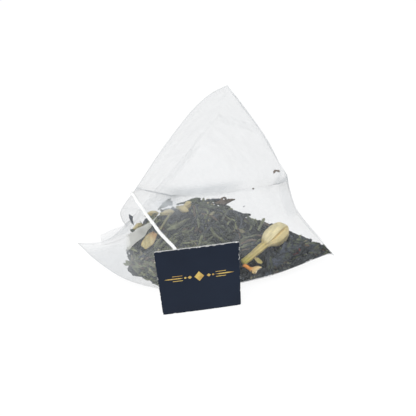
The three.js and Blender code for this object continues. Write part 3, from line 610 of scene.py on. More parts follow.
def outward_faces(points, faces):
    """The pouch's faces, each wound so that it faces out."""
    shape = bmesh.new()
    corners = [shape.verts.new(p) for p in points]
    for face in faces.tolist():
        unique = list(dict.fromkeys(face))
        if len(unique) > 2:
            shape.faces.new([corners[v] for v in unique])
    bmesh.ops.recalc_face_normals(shape, faces=shape.faces[:])
    if shape.calc_volume(signed=True) < 0:
        bmesh.ops.reverse_faces(shape, faces=shape.faces[:])
    shape.verts.index_update()
    wound = [[v.index for v in face.verts] for face in shape.faces]
    shape.free()
    return wound


add_panels()
skin_points, skin_faces = cloth.joined()[:2]
skin_tree = BVHTree.FromPolygons([Vector(p) for p in skin_points], outward_faces(skin_points, skin_faces))

# how far inside the mesh each kind of piece stays
core_depth, leaf_depth, front_leaf_depth, scrap_depth, dust_depth = 0.95, 0.3, 0.16, 0.15, 0.14
flower_depth, stem_depth = 0.25, 0.25


def kept_inside(points, clear):
    """Points moved, where they have to be, so that all lie at least clear inside the pouch."""
    moved = np.array(points, float)
    for index, point in enumerate(moved):
        near, normal, _, _ = skin_tree.find_nearest(point)
        if (near - Vector(point)).dot(normal) < clear:
            moved[index] = near - normal * clear
    return moved


def add_left_margin():
    """The two layers of the left seal, pressed flat and cut off beyond it."""
    share = np.linspace(0.1, 0.975, 90)
    line = left_seal.at(share)
    run = unit(np.gradient(line, axis=0))
    outward = np.array([-1, 0.5, 0.25])
    side = unit(outward - run * (run @ outward)[:, None])
    up = np.cross(run, side)[:, None]
    width = left_margin + 0.12 * np.sin(40 * share) + left_margin_more * bell(share - 0.18, 0.09)
    width = (width * (0.25 + 0.75 * ease(0.985, 0.92, share)))[:, None]
    faint = -0.06 - 0.12 * ease(0.28, 0.42, share)[:, None]
    across = np.linspace(-0.1, 1, 8)
    pressed = 0.08 * bell(across - 0.35, 0.22) - 0.08 * ease(0.45, 0.1, across)
    for layer, lift in ((0, 0.09), (1, -0.09)):
        grid = line[:, None] + side[:, None] * (width * across)[..., None]
        grid = grid + up * (lift * (1 + 1.2 * ease(0.5, 1, across)))[:, None]
        grid[..., 2] = np.maximum(grid[..., 2], 0.05)
        wave = 0.12 * np.sin(16 * share + layer)[:, None] * ease(0.2, 1, across)
        grid = grid + up * wave[..., None]
        cloth.add(grid, pressed + faint, np.abs((1 - across) * width) + 0.2, flip=layer == 0)


def add_right_margin():
    """The right seal's two layers, folded back flat against the right rear panel."""
    down = np.linspace(0.06, 0.93, 110)[:, None]
    for layer in (0, 1):
        reach = np.linspace(0.0, right_margin - 0.15 * layer, 8)
        wave = 0.1 * ease(right_margin / 2, right_margin, reach) * (1 + np.sin(30 * down))
        lift = layer_step + layer_step * layer + wave
        grid = right_panel.at(reach / (pouch_width * down), down, lift)
        pressed = -0.07 + 0.05 * bell(reach - 1.2, 0.6)
        cloth.add(grid, pressed, reach[-1] - reach + 0.3, flip=layer == 0)


def add_lap_seam(panel, across, down):
    """One overlap of the lengthwise seam, lying on the outside of a rear panel."""
    fine, share = shares(70), shares(len(across))
    centre = panel.at(np.interp(fine, share, across), np.interp(fine, share, down))
    run = unit(np.gradient(centre, axis=0))
    side = unit(np.cross(panel.normal, run))
    place = np.linspace(-0.5, 0.5, 9)
    grid = centre[:, None] + side[:, None] * (place[:, None] * seam_width)
    found = [skin_tree.find_nearest(point) for point in grid.reshape(-1, 3)]
    grid = np.array([near + normal * layer_step for near, normal, _, _ in found]).reshape(grid.shape)
    pressed = -0.2 + 0.04 * bell(np.abs(place) - 0.3, 0.1)
    cloth.add(grid, pressed, (0.5 - np.abs(place)) * seam_width + 0.5, flip=True)


def add_wedge():
    """The pressed corner's layers, turned over the front panel, narrowing to a point."""
    upper = Route([(0.0, 0.85), (0.018, 0.818), (0.05, 0.79), (0.092, 0.755), (0.165, 0.718),
                   (0.205, 0.692), (0.226, 0.668), (0.234, 0.638)])
    lower = Route([(0.06, 0.935), (0.105, 0.892), (0.143, 0.852), (0.141, 0.828), (0.148, 0.785),
                   (0.178, 0.745), (0.214, 0.708), (0.238, 0.645)])
    fine, place = shares(80), shares(10)
    a, b = upper.at(fine)[:, None], lower.at(fine)[:, None]
    st = a * (1 - place[:, None]) + b * place[:, None]
    for layer in (0, 1):
        crown = (0.16 + 0.16 * layer + 0.25 * np.sin(np.pi * place)) * ease(1.02, 0.85, fine)[:, None]
        grid = front_panel.at(st[..., 0], st[..., 1], 0.1 + crown)
        rim = np.minimum(place, 1 - place) * np.linalg.norm(grid[:, -1] - grid[:, 0], axis=1)[:, None]
        fade = -0.75 * ease(*wedge_fade_columns, picture_at(grid)[0])
        cloth.add(grid, fade, rim + 0.12, pick=1, flip=True)


def build_bag():
    points, faces, corner_uv, haze, edge_off, picks = cloth.joined()
    kept_faces, kept_uv, kept_picks = [], [], []
    for face, uv, pick in zip(faces.tolist(), corner_uv, picks):
        corners = {}
        for vertex, place in zip(face, uv):
            corners.setdefault(vertex, place)
        if len(corners) > 2:
            kept_faces.append(list(corners))
            kept_uv.extend(corners.values())
            kept_picks.append(pick)
    bag = make_piece("mesh_bag_cloth", "mesh_bag", points, kept_faces, [sheer, layered],
                     {"haze": haze, "edge": edge_off}, kept_uv, picks=kept_picks)


right_seam = np.linspace(0.03, 0.97, 5)
left_seam = np.array([0.46, 0.6, 0.74, 0.87, 0.985])
add_left_margin()
add_right_margin()
add_lap_seam(right_panel, right_seam, 0.26 + 0.2 * right_seam)
add_lap_seam(left_panel, 0.97 - 0.4 * (left_seam - left_seam[0]), left_seam)
add_wedge()
build_bag()


# shader for dry plant matter
def plant_material(name, stretch, grain, roughness, depth, mottle, gloss):
    """Dry leaf or petal: its own colour from the tint attribute, mottled, and wrinkled along
    its length, which the UV map's first axis follows."""
    shader = Shader(name)
    patch = shader.cloud(420.0, 4.0, 0.6)
    fine = shader.cloud(grain, 5.0, 0.7)
    ribs = shader.cloud(1.0, 3.0, stretch=stretch)
    shade = shader.maths("MULTIPLY", shader.ranged(patch, 0.3, 0.7, 1 - mottle, 1 + mottle),
                         shader.ranged(ribs, 0.35, 0.65, 1 - 0.6 * mottle, 1 + 0.6 * mottle))
    colour = shader.scaled(shader.attribute("tint", "Color"), shade)
    height = shader.maths("ADD", ribs, shader.maths("MULTIPLY", fine, 0.7))
    return shader.bumped(colour, roughness, gloss, height, 0.8, depth)


leaf_look = plant_material("dry_tea_leaf", (0.5, 5.0, 1.0), grain=2600.0, roughness=0.6, depth=1.3e-4,
                           mottle=0.32, gloss=0.3)
dust_look = plant_material("tea_dust", (0.8, 0.8, 1.0), grain=1500.0, roughness=0.8, depth=2.5e-4,
                           mottle=0.5, gloss=0.2)
petal_look = plant_material("dried_petal", (0.35, 3.2, 1.0), grain=1800.0, roughness=0.6, depth=1.2e-4,
                            mottle=0.2, gloss=0.25)
stem_look = plant_material("dried_stem", (0.3, 5.0, 1.0), grain=2200.0, roughness=0.6, depth=8e-5,
                           mottle=0.22, gloss=0.3)


# leaf shapes
def spun(points, way, turn):
    """Unit vectors across a line at each of its places: sideways and upward, turned about it by turn."""
    run = unit(np.gradient(points, axis=0))
    side = unit(np.cross(np.broadcast_to(way, run.shape), run))
    up = np.cross(run, side)
    turn = np.broadcast_to(turn, (len(points),))[:, None]
    return side * np.cos(turn) + up * np.sin(turn), up * np.cos(turn) - side * np.sin(turn)


def swept(line, ways, half_width, half_thick, sides, section=1.0):
    """A closed tube of changing section along a line, with a point at each end. ways are the two
    sets of unit vectors across the line that its width and its thickness lie along."""
    side, up = ways
    angle = around(sides)
    rings = (line[:, None]
             + side[:, None] * (half_width[:, None] * np.cos(angle) * section)[..., None]
             + up[:, None] * (half_thick[:, None] * np.sin(angle) * section)[..., None])
    points = np.vstack([rings.reshape(-1, 3), line[:1], line[-1:]])
    first = len(line) * sides
    end = first - sides
    faces = ring_faces(len(line), sides)
    faces += [[first, (j + 1) % sides, j] for j in range(sides)]
    faces += [[first + 1, end + j, end + (j + 1) % sides] for j in range(sides)]
    run = lengths_along(line)
    uv = stacked(run[:, None], angle * half_width.mean()).reshape(-1, 2)
    return points, faces, np.vstack([uv, [[0, 0], [run[-1], 0]]])


def leaf_shape(length, width, thick, bend, twist, rings=9, sides=6, crinkle=0.2):
    """One rolled or flat dry leaf along X, crinkled, twisted and bent."""
    share = shares(rings)
    heading = bend * (share - 0.5) + 0.35 * np.sin(2 * np.pi * (1.3 * share + rng.random()))
    sway = 0.5 * rng.normal() * (share - 0.5) + 0.2 * np.sin(2 * np.pi * (share + rng.random()))
    step = length / (rings - 1)
    steps = np.stack([np.cos(heading) * np.cos(sway), np.sin(sway), np.sin(heading)], -1) * step
    line = np.cumsum(steps, axis=0)
    line -= line.mean(axis=0)
    ways = spun(line, (0, 1, 0), twist * share + rng.random() * 6)
    taper = 0.28 + 0.72 * np.sin(np.pi * np.clip(0.06 + 0.9 * share, 0, 1)) ** 0.7
    taper = taper * (1 + 0.16 * rng.normal(size=rings))
    taper[0] *= 0.45
    taper[-1] *= 0.4
    section = 1 + crinkle * rng.normal(size=(rings, sides))
    return swept(line, ways, width / 2 * taper, thick / 2 * taper, sides, np.clip(section, 0.45, 1.6))


def placed(points, centre, run, facing):
    """Points of a shape along X, moved so that X runs along run and Z faces facing."""
    run = unit(run)
    side = unit(np.cross(facing, run))
    up = np.cross(run, side)
    return points[:, :1] * run + points[:, 1:2] * side + points[:, 2:3] * up + centre


class Heap:
    """Many small pieces gathered into one mesh, each with its own colour."""

    def __init__(self):
        self.points, self.faces, self.uv, self.tint, self.count = [], [], [], [], 0

    def add(self, points, faces, uv, tint):
        self.points.append(points)
        self.faces.extend([[v + self.count for v in face] for face in faces])
        self.uv.append(uv)
        self.tint.append(np.broadcast_to(tint, points.shape))
        self.count += len(points)

    def build(self, name, slot, replaced, material):
        tint = np.clip(np.vstack(self.tint), 0, 1)
        points, uv = np.vstack(self.points), np.vstack(self.uv)
        return make_piece(name, replaced, points, self.faces, [material], {"tint": tint}, uv)


# the loose pieces' places
def node_points(name):
    points = np.zeros(len(nodes[name].data.vertices) * 3)
    nodes[name].data.vertices.foreach_get("co", points)
    return points.reshape(-1, 3) / mm


# how far pieces settle to the right and down in the front picture, against their CAD nodes, in millimetres
settled = {"jasmine_bud_large": (0.6, 2.0), "orange_blossom": (0.0, 1.6), "jasmine_petal_2": (-0.5, 1.5),
           "red_petal_scrap": (0.9, 0.1), "green_leaf_scrap": (0.8, 0.4), "jasmine_bud_small_5": (-0.9, -0.4)}


def spine(name, bins=5):
    """A CAD node's thin end and thick end, its axes, and the line through it, where it has settled."""
    right, down = settled.get(name, (0.0, 0.0))
    points = node_points(name) + [right, 0, 0] - np.array(camera_up) * down
    centre = points.mean(axis=0)
    _, _, axes = np.linalg.svd(points - centre, full_matrices=False)
    along = (points - centre) @ axes[0]
    low, high = along.min(), along.max()
    off = np.linalg.norm((points - centre) - along[:, None] * axes[0], axis=1)
    middle = (low + high) / 2
    if off[along > middle].max() < off[along < middle].max():
        axes[0] = -axes[0]
        along, low, high = -along, -high, -low
    cuts = np.linspace(low, high, bins + 1)
    line = []
    for a, b in zip(cuts[:-1], cuts[1:]):
        inside = (along >= a - 1e-6) & (along <= b + 1e-6)
        if inside.any():
            line.append(points[inside].mean(axis=0))
    return centre + axes[0] * low, centre + axes[0] * high, axes, np.array(line)


loose_starts = ("jasmine", "red_", "green_", "orange", "curled", "stem_")
capsules = {}
for name in [n for n in nodes if n.startswith(loose_starts)]:
    start, end, axes, _ = spine(name)
    across = node_points(name) @ axes[1]
    capsules[name] = (start, end, 0.5 * (across.max() - across.min()))


def clear_of_loose(points, margin, bud_margin=0.05):
    """Whether points stay clear of every loose piece that has a node of its own."""
    for name, (start, end, radius) in capsules.items():
        run = end - start
        share = np.clip(((points - start) @ run) / (run @ run), 0, 1)
        gap = np.linalg.norm(points - start - share[:, None] * run, axis=1)
        if gap.min() < radius + (bud_margin if name == "jasmine_bud_large" else margin):
            return False
    return True


# the heap of tea
leaf_tries, front_leaf_tries = 1900, 1500
olive = np.array([0.15, 0.16, 0.085])
green = np.array([0.055, 0.064, 0.038])
dark = np.array([0.026, 0.03, 0.031])
# a blue-grey leaf tone that also carries painted sheen, the blue-grey highlight on leaves
slate_tone_and_sheen = np.array([0.05, 0.057, 0.068])
brown = np.array([0.095, 0.065, 0.042])
straw = np.array([0.26, 0.235, 0.135])

# the heap's outline in the front picture, in pixels: its top by column, and its left side by row
heap_top = ([120, 127, 135, 150, 165, 185, 205, 225, 240, 248, 262, 280, 300, 315, 330, 336],
            [240, 231, 223, 211, 207, 201, 197, 198, 211, 217, 221, 227, 235, 242, 249, 257])
heap_left = ([225, 262, 268, 276, 286, 292], [126, 126, 131, 139, 156, 176])


def scatter(count):
    """Places spread evenly over the CAD heap's surface, with the way that it faces at each."""
    data = nodes["tea_heap"].data
    data.calc_loop_triangles()
    a, b, c = node_points("tea_heap")[np.array([t.vertices[:] for t in data.loop_triangles]).T]
    cross = np.cross(b - a, c - a)
    area = np.linalg.norm(cross, axis=1) / 2
    pick = rng.choice(len(area), size=count, p=area / area.sum())
    u, v = rng.random(count), rng.random(count)
    flip = u + v > 1
    u[flip], v[flip] = 1 - u[flip], 1 - v[flip]
    place = a[pick] + (b - a)[pick] * u[:, None] + (c - a)[pick] * v[:, None]
    return place, unit(cross)[pick]


def leaf_colour(place):
    """Olive and green at the left and over the top, darker and bluer at the right, where more leaves take the
    blue-grey tone with its painted sheen.
    """
    right = float(ease(2, 24, place[0]))
    weights = np.array([0.36 * (1 - 0.8 * right), 0.28, 0.14 + 0.4 * right, 0.12 + 0.2 * right,
                        0.07, 0.03 * (1 - 0.6 * right)])
    base = [olive, green, dark, slate_tone_and_sheen, brown, straw][rng.choice(6, p=weights / weights.sum())]
    return base * (0.75 + 0.5 * rng.random())


def within_outline(points):
    """Whether a leaf stays in the heap's outline, give or take a pixel or two."""
    column, row = picture_at(points)
    slack = rng.uniform(-0.5, 2.8)
    return bool((row > np.interp(column, *heap_top) - slack).all()
                and (column > np.interp(row, *heap_left) - 0.6 * slack).all())


def scatter_leaves():
    """Leaves that lie all over the heap, fewer of them under it, where they stay out of sight."""
    heap = Heap()
    for spot, facing in zip(*scatter(leaf_tries)):
        if facing[2] < -0.5 and rng.random() < 0.75:
            continue
        right = float(ease(0, 24, spot[0]))
        flat = rng.random() < 0.16 + 0.12 * right
        length = rng.uniform(2.6, 7.6) * (1 - 0.1 * right)
        width = rng.uniform(0.6, 1.15) * (1 + 0.3 * right + 0.6 * flat)
        thick = width * (rng.uniform(0.2, 0.3) if flat else rng.uniform(0.55, 0.9))
        points, faces, uv = leaf_shape(length, width, thick, rng.normal(0, 1.0), rng.normal(0, 3.6))
        heading = rng.random() * 2 * np.pi
        tangent = np.cross(facing, [math.cos(heading), math.sin(heading), 0.2])
        run = unit(tangent) + facing * rng.normal(0, 0.2)
        if abs(facing[1]) > 0.4 or rng.random() < 0.5:
            run = run * [1.0, 0.8, 0.75]
        points = placed(points, spot + facing * rng.uniform(-0.4, 0.45), run, facing)
        if clear_of_loose(points, 0.05) and within_outline(points):
            heap.add(kept_inside(points, leaf_depth), faces, uv, leaf_colour(spot))
    return heap


def scatter_front_leaves():
    """Leaves pressed against the mesh along the front fold and in the right corner."""
    heap = Heap()
    for _ in range(front_leaf_tries):
        across = 0.2 + 0.795 * rng.random() ** 0.8
        down = rng.uniform(0.82, 0.994)
        if across < 0.8 and down < 0.9 and rng.random() < 0.6:
            continue
        right = float(ease(0.55, 0.8, across))
        length = rng.uniform(2.2, 5.4) * (1 - 0.35 * ease(0.86, 0.97, across))
        width = rng.uniform(0.6, 1.1) * (1 + 0.25 * right)
        points, faces, uv = leaf_shape(length, width, width * rng.uniform(0.35, 0.8), rng.normal(0, 0.8),
                                       rng.normal(0, 3.2))
        heading = rng.normal(0, 0.7)
        along = np.array([math.cos(heading), 0.0, math.sin(heading)])
        run = along - front_panel.normal * (along @ front_panel.normal)
        spot = front_panel.at(across, down, -rng.uniform(0.25, 0.9))
        points = placed(points, spot, run, front_panel.normal)
        if clear_of_loose(points, 0.3, 0.8) and within_outline(points):
            # the slight blue shift is painted sheen on leaves pressed against the mesh
            tint = leaf_colour(spot) * rng.uniform(0.65, 1.5) * [0.95, 0.96, 1.04]
            heap.add(kept_inside(points, front_leaf_depth), faces, uv, tint)
    return heap


def fold_dust():
    """Crumbs and dust that fill the narrow pocket along the front fold and the right corner."""
    heap = Heap()
    rings, sides = 260, 18
    for down, inward, low, high in ((0.978, 0.75, 0.34, 0.986), (0.93, 1.6, 0.8, 0.972)):
        across = np.linspace(low, high, rings)
        line = front_panel.at(across, down + 0.005 * np.sin(40 * across), -inward)
        side = unit(front_panel.at(across, 0.99) - front_panel.at(across, 0.94))
        up = np.broadcast_to(front_panel.normal, line.shape)
        ends = ease(low, low + 0.06, across) * ease(high, high - 0.04, across)
        half = (0.4 + 1.15 * ends) * (1 + 0.07 * rng.normal(size=rings))
        thick = (0.2 + 0.45 * ends) * (1 + 0.15 * rng.normal(size=rings))
        section = np.clip(1 + 0.12 * rng.normal(size=(rings, sides)), 0.6, 1.4)
        points, faces, uv = swept(line, (side, up), half, thick, sides, section)
        points = kept_inside(points, dust_depth)
        shade = np.clip(1 + 0.9 * undulation(points, 0.9, 5.2), 0.4, 1.8)
        heap.add(points, faces, uv, np.array([0.032, 0.035, 0.037]) * shade[:, None])
    return heap


def clinging_bits():
    """Scraps of leaf caught on the inside of the front panel, and pale leaves at the heap's left side.
    Each has its start and end, as shares across and down the panel, its width and its colour."""
    heap = Heap()
    dark_brown = np.array([0.11, 0.07, 0.04])
    pale = np.array([0.2, 0.21, 0.11])
    for start, end, width, tone in [
        ((0.915, 0.482), (0.95, 0.462), 0.7, dark_brown), ((0.945, 0.462), (0.968, 0.478), 0.6, dark_brown),
        ((0.758, 0.562), (0.768, 0.557), 0.7, dark_brown), ((0.696, 0.636), (0.704, 0.632), 0.35, slate_tone_and_sheen),
        ((0.06, 0.688), (0.085, 0.74), 0.95, slate_tone_and_sheen), ((0.175, 0.905), (0.215, 0.925), 0.9, pale),
        ((0.185, 0.93), (0.235, 0.912), 0.8, olive * 1.3), ((0.125, 0.85), (0.19, 0.845), 1.0, pale),
        ((0.235, 0.928), (0.3, 0.957), 1.1, pale), ((0.29, 0.945), (0.365, 0.975), 1.1, olive * 1.3),
        ((0.22, 0.915), (0.27, 0.945), 1.0, olive * 1.2), ((0.2, 0.89), (0.225, 0.93), 0.9, pale),
        ((0.345, 0.955), (0.385, 0.975), 0.8, pale), ((0.56, 0.596), (0.575, 0.582), 0.7, dark_brown),
        ((0.572, 0.582), (0.603, 0.598), 0.8, brown), ((0.345, 0.70), (0.385, 0.675), 0.28, straw),
        ((0.65, 0.785), (0.745, 0.772), 0.8, olive * 0.7), ((0.655, 0.802), (0.735, 0.792), 0.7, brown * 1.3),
        ((0.65, 0.818), (0.715, 0.812), 0.8, olive * 0.8), ((0.655, 0.836), (0.695, 0.83), 0.7, brown),
    ]:
        a, b = (front_panel.at(*place, -0.5) for place in (start, end))
        points, faces, uv = leaf_shape(np.linalg.norm(b - a), width, width * 0.5, 0.5, 1.5, crinkle=0.14)
        points = kept_inside(placed(points, (a + b) / 2, b - a, front_panel.normal), scrap_depth)
        heap.add(points, faces, uv, tone)
    return heap


def build_core():
    """The dark mass under the scattered leaves: the CAD heap, remeshed, drawn in and roughened. Its
    near-black colour is tea with painted shade, so that the gaps between the leaves look dark.
    """
    even_size, drawn_in = 0.75, 1.15
    body = linked("heap_source", nodes["tea_heap"].data.copy())
    remesh = body.modifiers.new("even", "REMESH")
    remesh.mode = "VOXEL"
    remesh.voxel_size = even_size * mm
    bpy.context.view_layer.update()
    evaluated = body.evaluated_get(bpy.context.evaluated_depsgraph_get())
    mesh = evaluated.to_mesh()
    points = np.array([v.co[:] for v in mesh.vertices]) / mm
    normals = np.array([v.normal[:] for v in mesh.vertices])
    faces = [list(p.vertices) for p in mesh.polygons]
    evaluated.to_mesh_clear()
    data = body.data
    bpy.data.objects.remove(body)
    bpy.data.meshes.remove(data)
    rough = 0.55 * undulation(points, 1.7, 2.2) + 0.35 * undulation(points, 0.8, 7.3)
    points = kept_inside(points + normals * (rough - drawn_in)[:, None], core_depth)
    shade = np.clip(0.75 + 0.6 * undulation(points, 1.3, 4.4), 0.3, 1.5)
    # near black: the tea below the leaves, with painted shade for the gaps between them
    tint = np.array([0.022, 0.024, 0.021]) * shade[:, None]
    make_piece("tea_heap_core", None, points, faces, [dust_look], {"tint": tint}, points[:, :2])


build_core()
scatter_leaves().build("tea_leaves", "tea", "tea_heap", leaf_look)
scatter_front_leaves().build("tea_leaves_front", "tea", None, leaf_look)
fold_dust().build("tea_fold_dust", "tea", None, dust_look)
clinging_bits().build("tea_scraps", "tea", None, leaf_look)


# jasmine buds
def bud_shape(length, head_length, head_radius, tube_radius, rings, sides, slit_turn, lobe_split):
    """A dried bud along X from the end of its tube to its tip. Two petals wrap the head:
    the inner one runs on from the tube, and the outer one ends in a shoulder above it."""
    neck = length - head_length
    head_steps = (1 - np.cos(np.linspace(0, np.pi, rings - rings // 3))) / 2
    x = np.concatenate([np.linspace(0, neck, rings // 3, endpoint=False), neck + head_length * head_steps])
    angle = around(sides)
    h = np.clip((x - neck) / head_length, 0, 1)[:, None]
    tube = tube_radius * (0.84 + 0.2 * ease(0, neck, x) + 0.1 * bell(x, 0.08 * neck))[:, None]
    inner_head = head_radius * np.sin(np.pi * np.clip(0.1 + 0.9 * h, 0, 1)) ** 0.62 * (0.72 + 0.35 * h)
    inner = tube + (inner_head - tube) * ease(0.0, 0.42, h)
    outer_head = head_radius * 1.07 * np.clip(np.sin(np.pi * h), 0, 1) ** 0.42 * (0.9 + 0.12 * h)
    outer = np.where(h > 0, np.maximum(inner, outer_head), inner)
    slit = slit_turn + lobe_split * (h - 0.5)
    turn = (slit - angle + np.pi) % (2 * np.pi) - np.pi
    outside = ease(-0.05, 0.05, turn) * ease(np.pi, np.pi - 0.5, turn) * ease(0.02, 0.07, h)
    radius = inner + (outer - inner) * outside
    groove = bell(turn + 0.05, 0.09) * ease(0.16, 0.4, h) * ease(0.92, 0.68, h)
    ribs = 0.08 * np.cos(6 * angle) * ease(0.1, 0.0, h) + 0.02 * np.cos(11 * angle + 2 * h)
    folds = 0.035 * np.sin(3 * angle + 9 * h) * ease(0.0, 0.2, h)
    radius = radius * (1 + ribs + folds) - 0.1 * head_radius * groove
    closing = np.sqrt(np.clip(1 - ((h - 0.8) / 0.2).clip(0, 1) ** 2, 0, 1))
    radius = np.where(h > 0.8, radius * (0.15 + 0.85 * closing), radius)
    radius[-1] *= 0.05
    radius[0] *= 0.7
    return stacked(x[:, None], radius * np.cos(angle), radius * np.sin(angle)), groove, h + 0 * angle, outside


def add_bud(name, node, spec, creams, crush=0.0):
    """A bud in place of its CAD node, from its tube's end along to its tip. creams are its colours: the
    tube's end, its top, the head, and the slit's golden petal edge with painted shade in the slit.
    """
    start, end, _, _ = spine(node)
    grid, groove, h, outside = bud_shape(**spec)
    rings, sides = grid.shape[:2]
    points = grid.reshape(-1, 3)
    wrinkle = 0.08 * undulation(points, 1.1, 6.1) + 0.11 * undulation(points, 2.4, 2.7)
    wrinkle = wrinkle[:, None] * unit(points * [0, 1, 1])
    bend = crush * np.sin(np.pi * points[:, :1] / spec["length"]) * np.array([0, 0.3, 1.0])
    points = placed(points + wrinkle + bend, start, end - start, to_camera)
    tube_end, tube_top, head, slit_edge_and_shade = creams
    tint = mixed(tube_end, tube_top, ease(0.04, 0.22, grid[..., 0] / spec["length"]))
    stripe = np.cos(6 * around(sides)) * ease(0.25, 0.0, h)
    tint = mixed(tint * (1 + 0.16 * stripe[..., None]), head, ease(0.0, 0.16, h))
    under = (1 - outside[..., None]) * ease(0, 0.2, h[..., None])
    # the slit takes the last cream: the golden petal edge, with painted shade in the slit
    tint = mixed(tint * (1 - np.array([0.05, 0.1, 0.22]) * under), slit_edge_and_shade, np.clip(groove * 1.15, 0, 1))
    uv = stacked(grid[..., 0], np.arange(sides) * 0.35).reshape(-1, 2)
    make_piece(name, node, kept_inside(points, flower_depth), capped_faces(rings, sides),
               [petal_look], {"tint": tint.reshape(-1, 3)}, uv)


# each set: tube end, tube top, head, and the slit's colour, which holds painted shade
fresh_creams = ((0.42, 0.36, 0.07), (0.54, 0.43, 0.15), (0.71, 0.62, 0.36), (0.5, 0.35, 0.13))
old_creams = ((0.3, 0.27, 0.1), (0.44, 0.37, 0.15), (0.56, 0.46, 0.22), (0.2, 0.12, 0.045))
main_bud = {"length": 17.7, "head_length": 9.7, "head_radius": 3.2, "tube_radius": 1.0,
            "rings": 66, "sides": 84, "slit_turn": 1.4, "lobe_split": -0.35}
small_bud = {"length": 4.4, "head_length": 3.7, "head_radius": 0.98, "tube_radius": 0.5,
             "rings": 30, "sides": 36, "lobe_split": 0.8}
add_bud("jasmine_bud_main", "jasmine_bud_large", main_bud, fresh_creams)
for number in range(1, 7):
    spec = {**small_bud, "slit_turn": 1.2 + 0.25 * number}
    add_bud(f"jasmine_small_{number}", f"jasmine_bud_small_{number}", spec, old_creams, crush=0.35)


# petals, scraps and the blossom
def petal_shape(length, width, thick, cup, curl, ruffle):
    """A thin crinkled petal along X: cupped across, curled along, with a ruffled rim."""
    row_count, column_count = 22, 14
    share = shares(row_count)
    half = width / 2 * (0.2 + 0.8 * np.sin(np.pi * np.clip(0.1 + 0.86 * share, 0, 1)) ** 0.75)
    s, p = np.meshgrid(share, np.linspace(-1, 1, column_count), indexing="ij")
    x = length * (s - 0.5)
    y = half[:, None] * p
    z = cup * p**2 + curl * (s - 0.5) ** 2
    z = z + ruffle * np.sin(11 * s + 3.5 * p) * p**2 + 0.4 * ruffle * np.sin(19 * s - 5 * p)
    mid = np.stack([x, y, z], -1)
    normal = unit(np.cross(np.gradient(mid, axis=0), np.gradient(mid, axis=1)))
    body = normal * thick / 2 * (1 - 0.7 * np.abs(p) ** 3)[..., None]
    points = np.vstack([(mid + body).reshape(-1, 3), (mid - body).reshape(-1, 3)])
    count = row_count * column_count
    faces = grid_faces(row_count, column_count).tolist()
    faces += grid_faces(row_count, column_count, count, True).tolist()
    rim = rim_of(row_count, column_count)
    faces += [[a, b, b + count, a + count] for a, b in zip(rim, rim[1:] + rim[:1])]
    flat = mid.reshape(-1, 3)[:, :2]
    return points, faces, *(np.concatenate([part, part]) for part in (flat, s.ravel(), p.ravel()))


def add_petal(name, node, size, shape, base, tip, rim, facing=None, turned=False, lean=0.0):
    """A petal or scrap in place of its CAD node. size is its length, width and thickness, shape its cup,
    curl and ruffle, and base, tip and rim are colours."""
    start, end, _, _ = spine(node)
    points, faces, uv, share, across = petal_shape(*size, *shape)
    run = unit(start - end if turned else end - start)
    facing = front_panel.normal if facing is None else np.array(facing)
    run = run * math.cos(lean) + np.cross(facing, run) * math.sin(lean)
    tint = mixed(base, tip, ease(0.45, 1.0, share))
    tint = mixed(tint, rim, ease(0.72, 1.0, np.abs(across)) * 0.6)
    points = kept_inside(placed(points, (start + end) / 2, run, facing), flower_depth)
    make_piece(name, node, points, faces, [petal_look], {"tint": tint}, uv)


add_petal("petal_large", "jasmine_petal_1", (5.3, 3.1, 0.3), (0.4, 0.6, 0.26),
          (0.6, 0.5, 0.23), (0.62, 0.36, 0.14), (0.4, 0.25, 0.08), turned=True, lean=-0.3)
add_petal("petal_small_front", "jasmine_petal_2", (2.6, 1.2, 0.26), (0.35, 0.6, 0.22),
          (0.42, 0.36, 0.13), (0.56, 0.45, 0.2), (0.4, 0.3, 0.12))
add_petal("petal_small_top", "jasmine_petal_3", (3.4, 1.7, 0.26), (0.3, 0.5, 0.1),
          (0.5, 0.44, 0.2), (0.5, 0.4, 0.16), (0.4, 0.3, 0.12), facing=(0, -0.3, 1.0))
add_petal("red_petal", "red_petal_scrap", (2.5, 1.1, 0.3), (0.5, 0.9, 0.45),
          (0.09, 0.018, 0.02), (0.26, 0.07, 0.055), (0.05, 0.012, 0.013))
add_petal("green_leaf_bit", "green_leaf_scrap", (4.9, 2.2, 0.28), (0.5, 0.8, 0.4),
          (0.15, 0.18, 0.075), (0.12, 0.15, 0.06), (0.2, 0.22, 0.1))


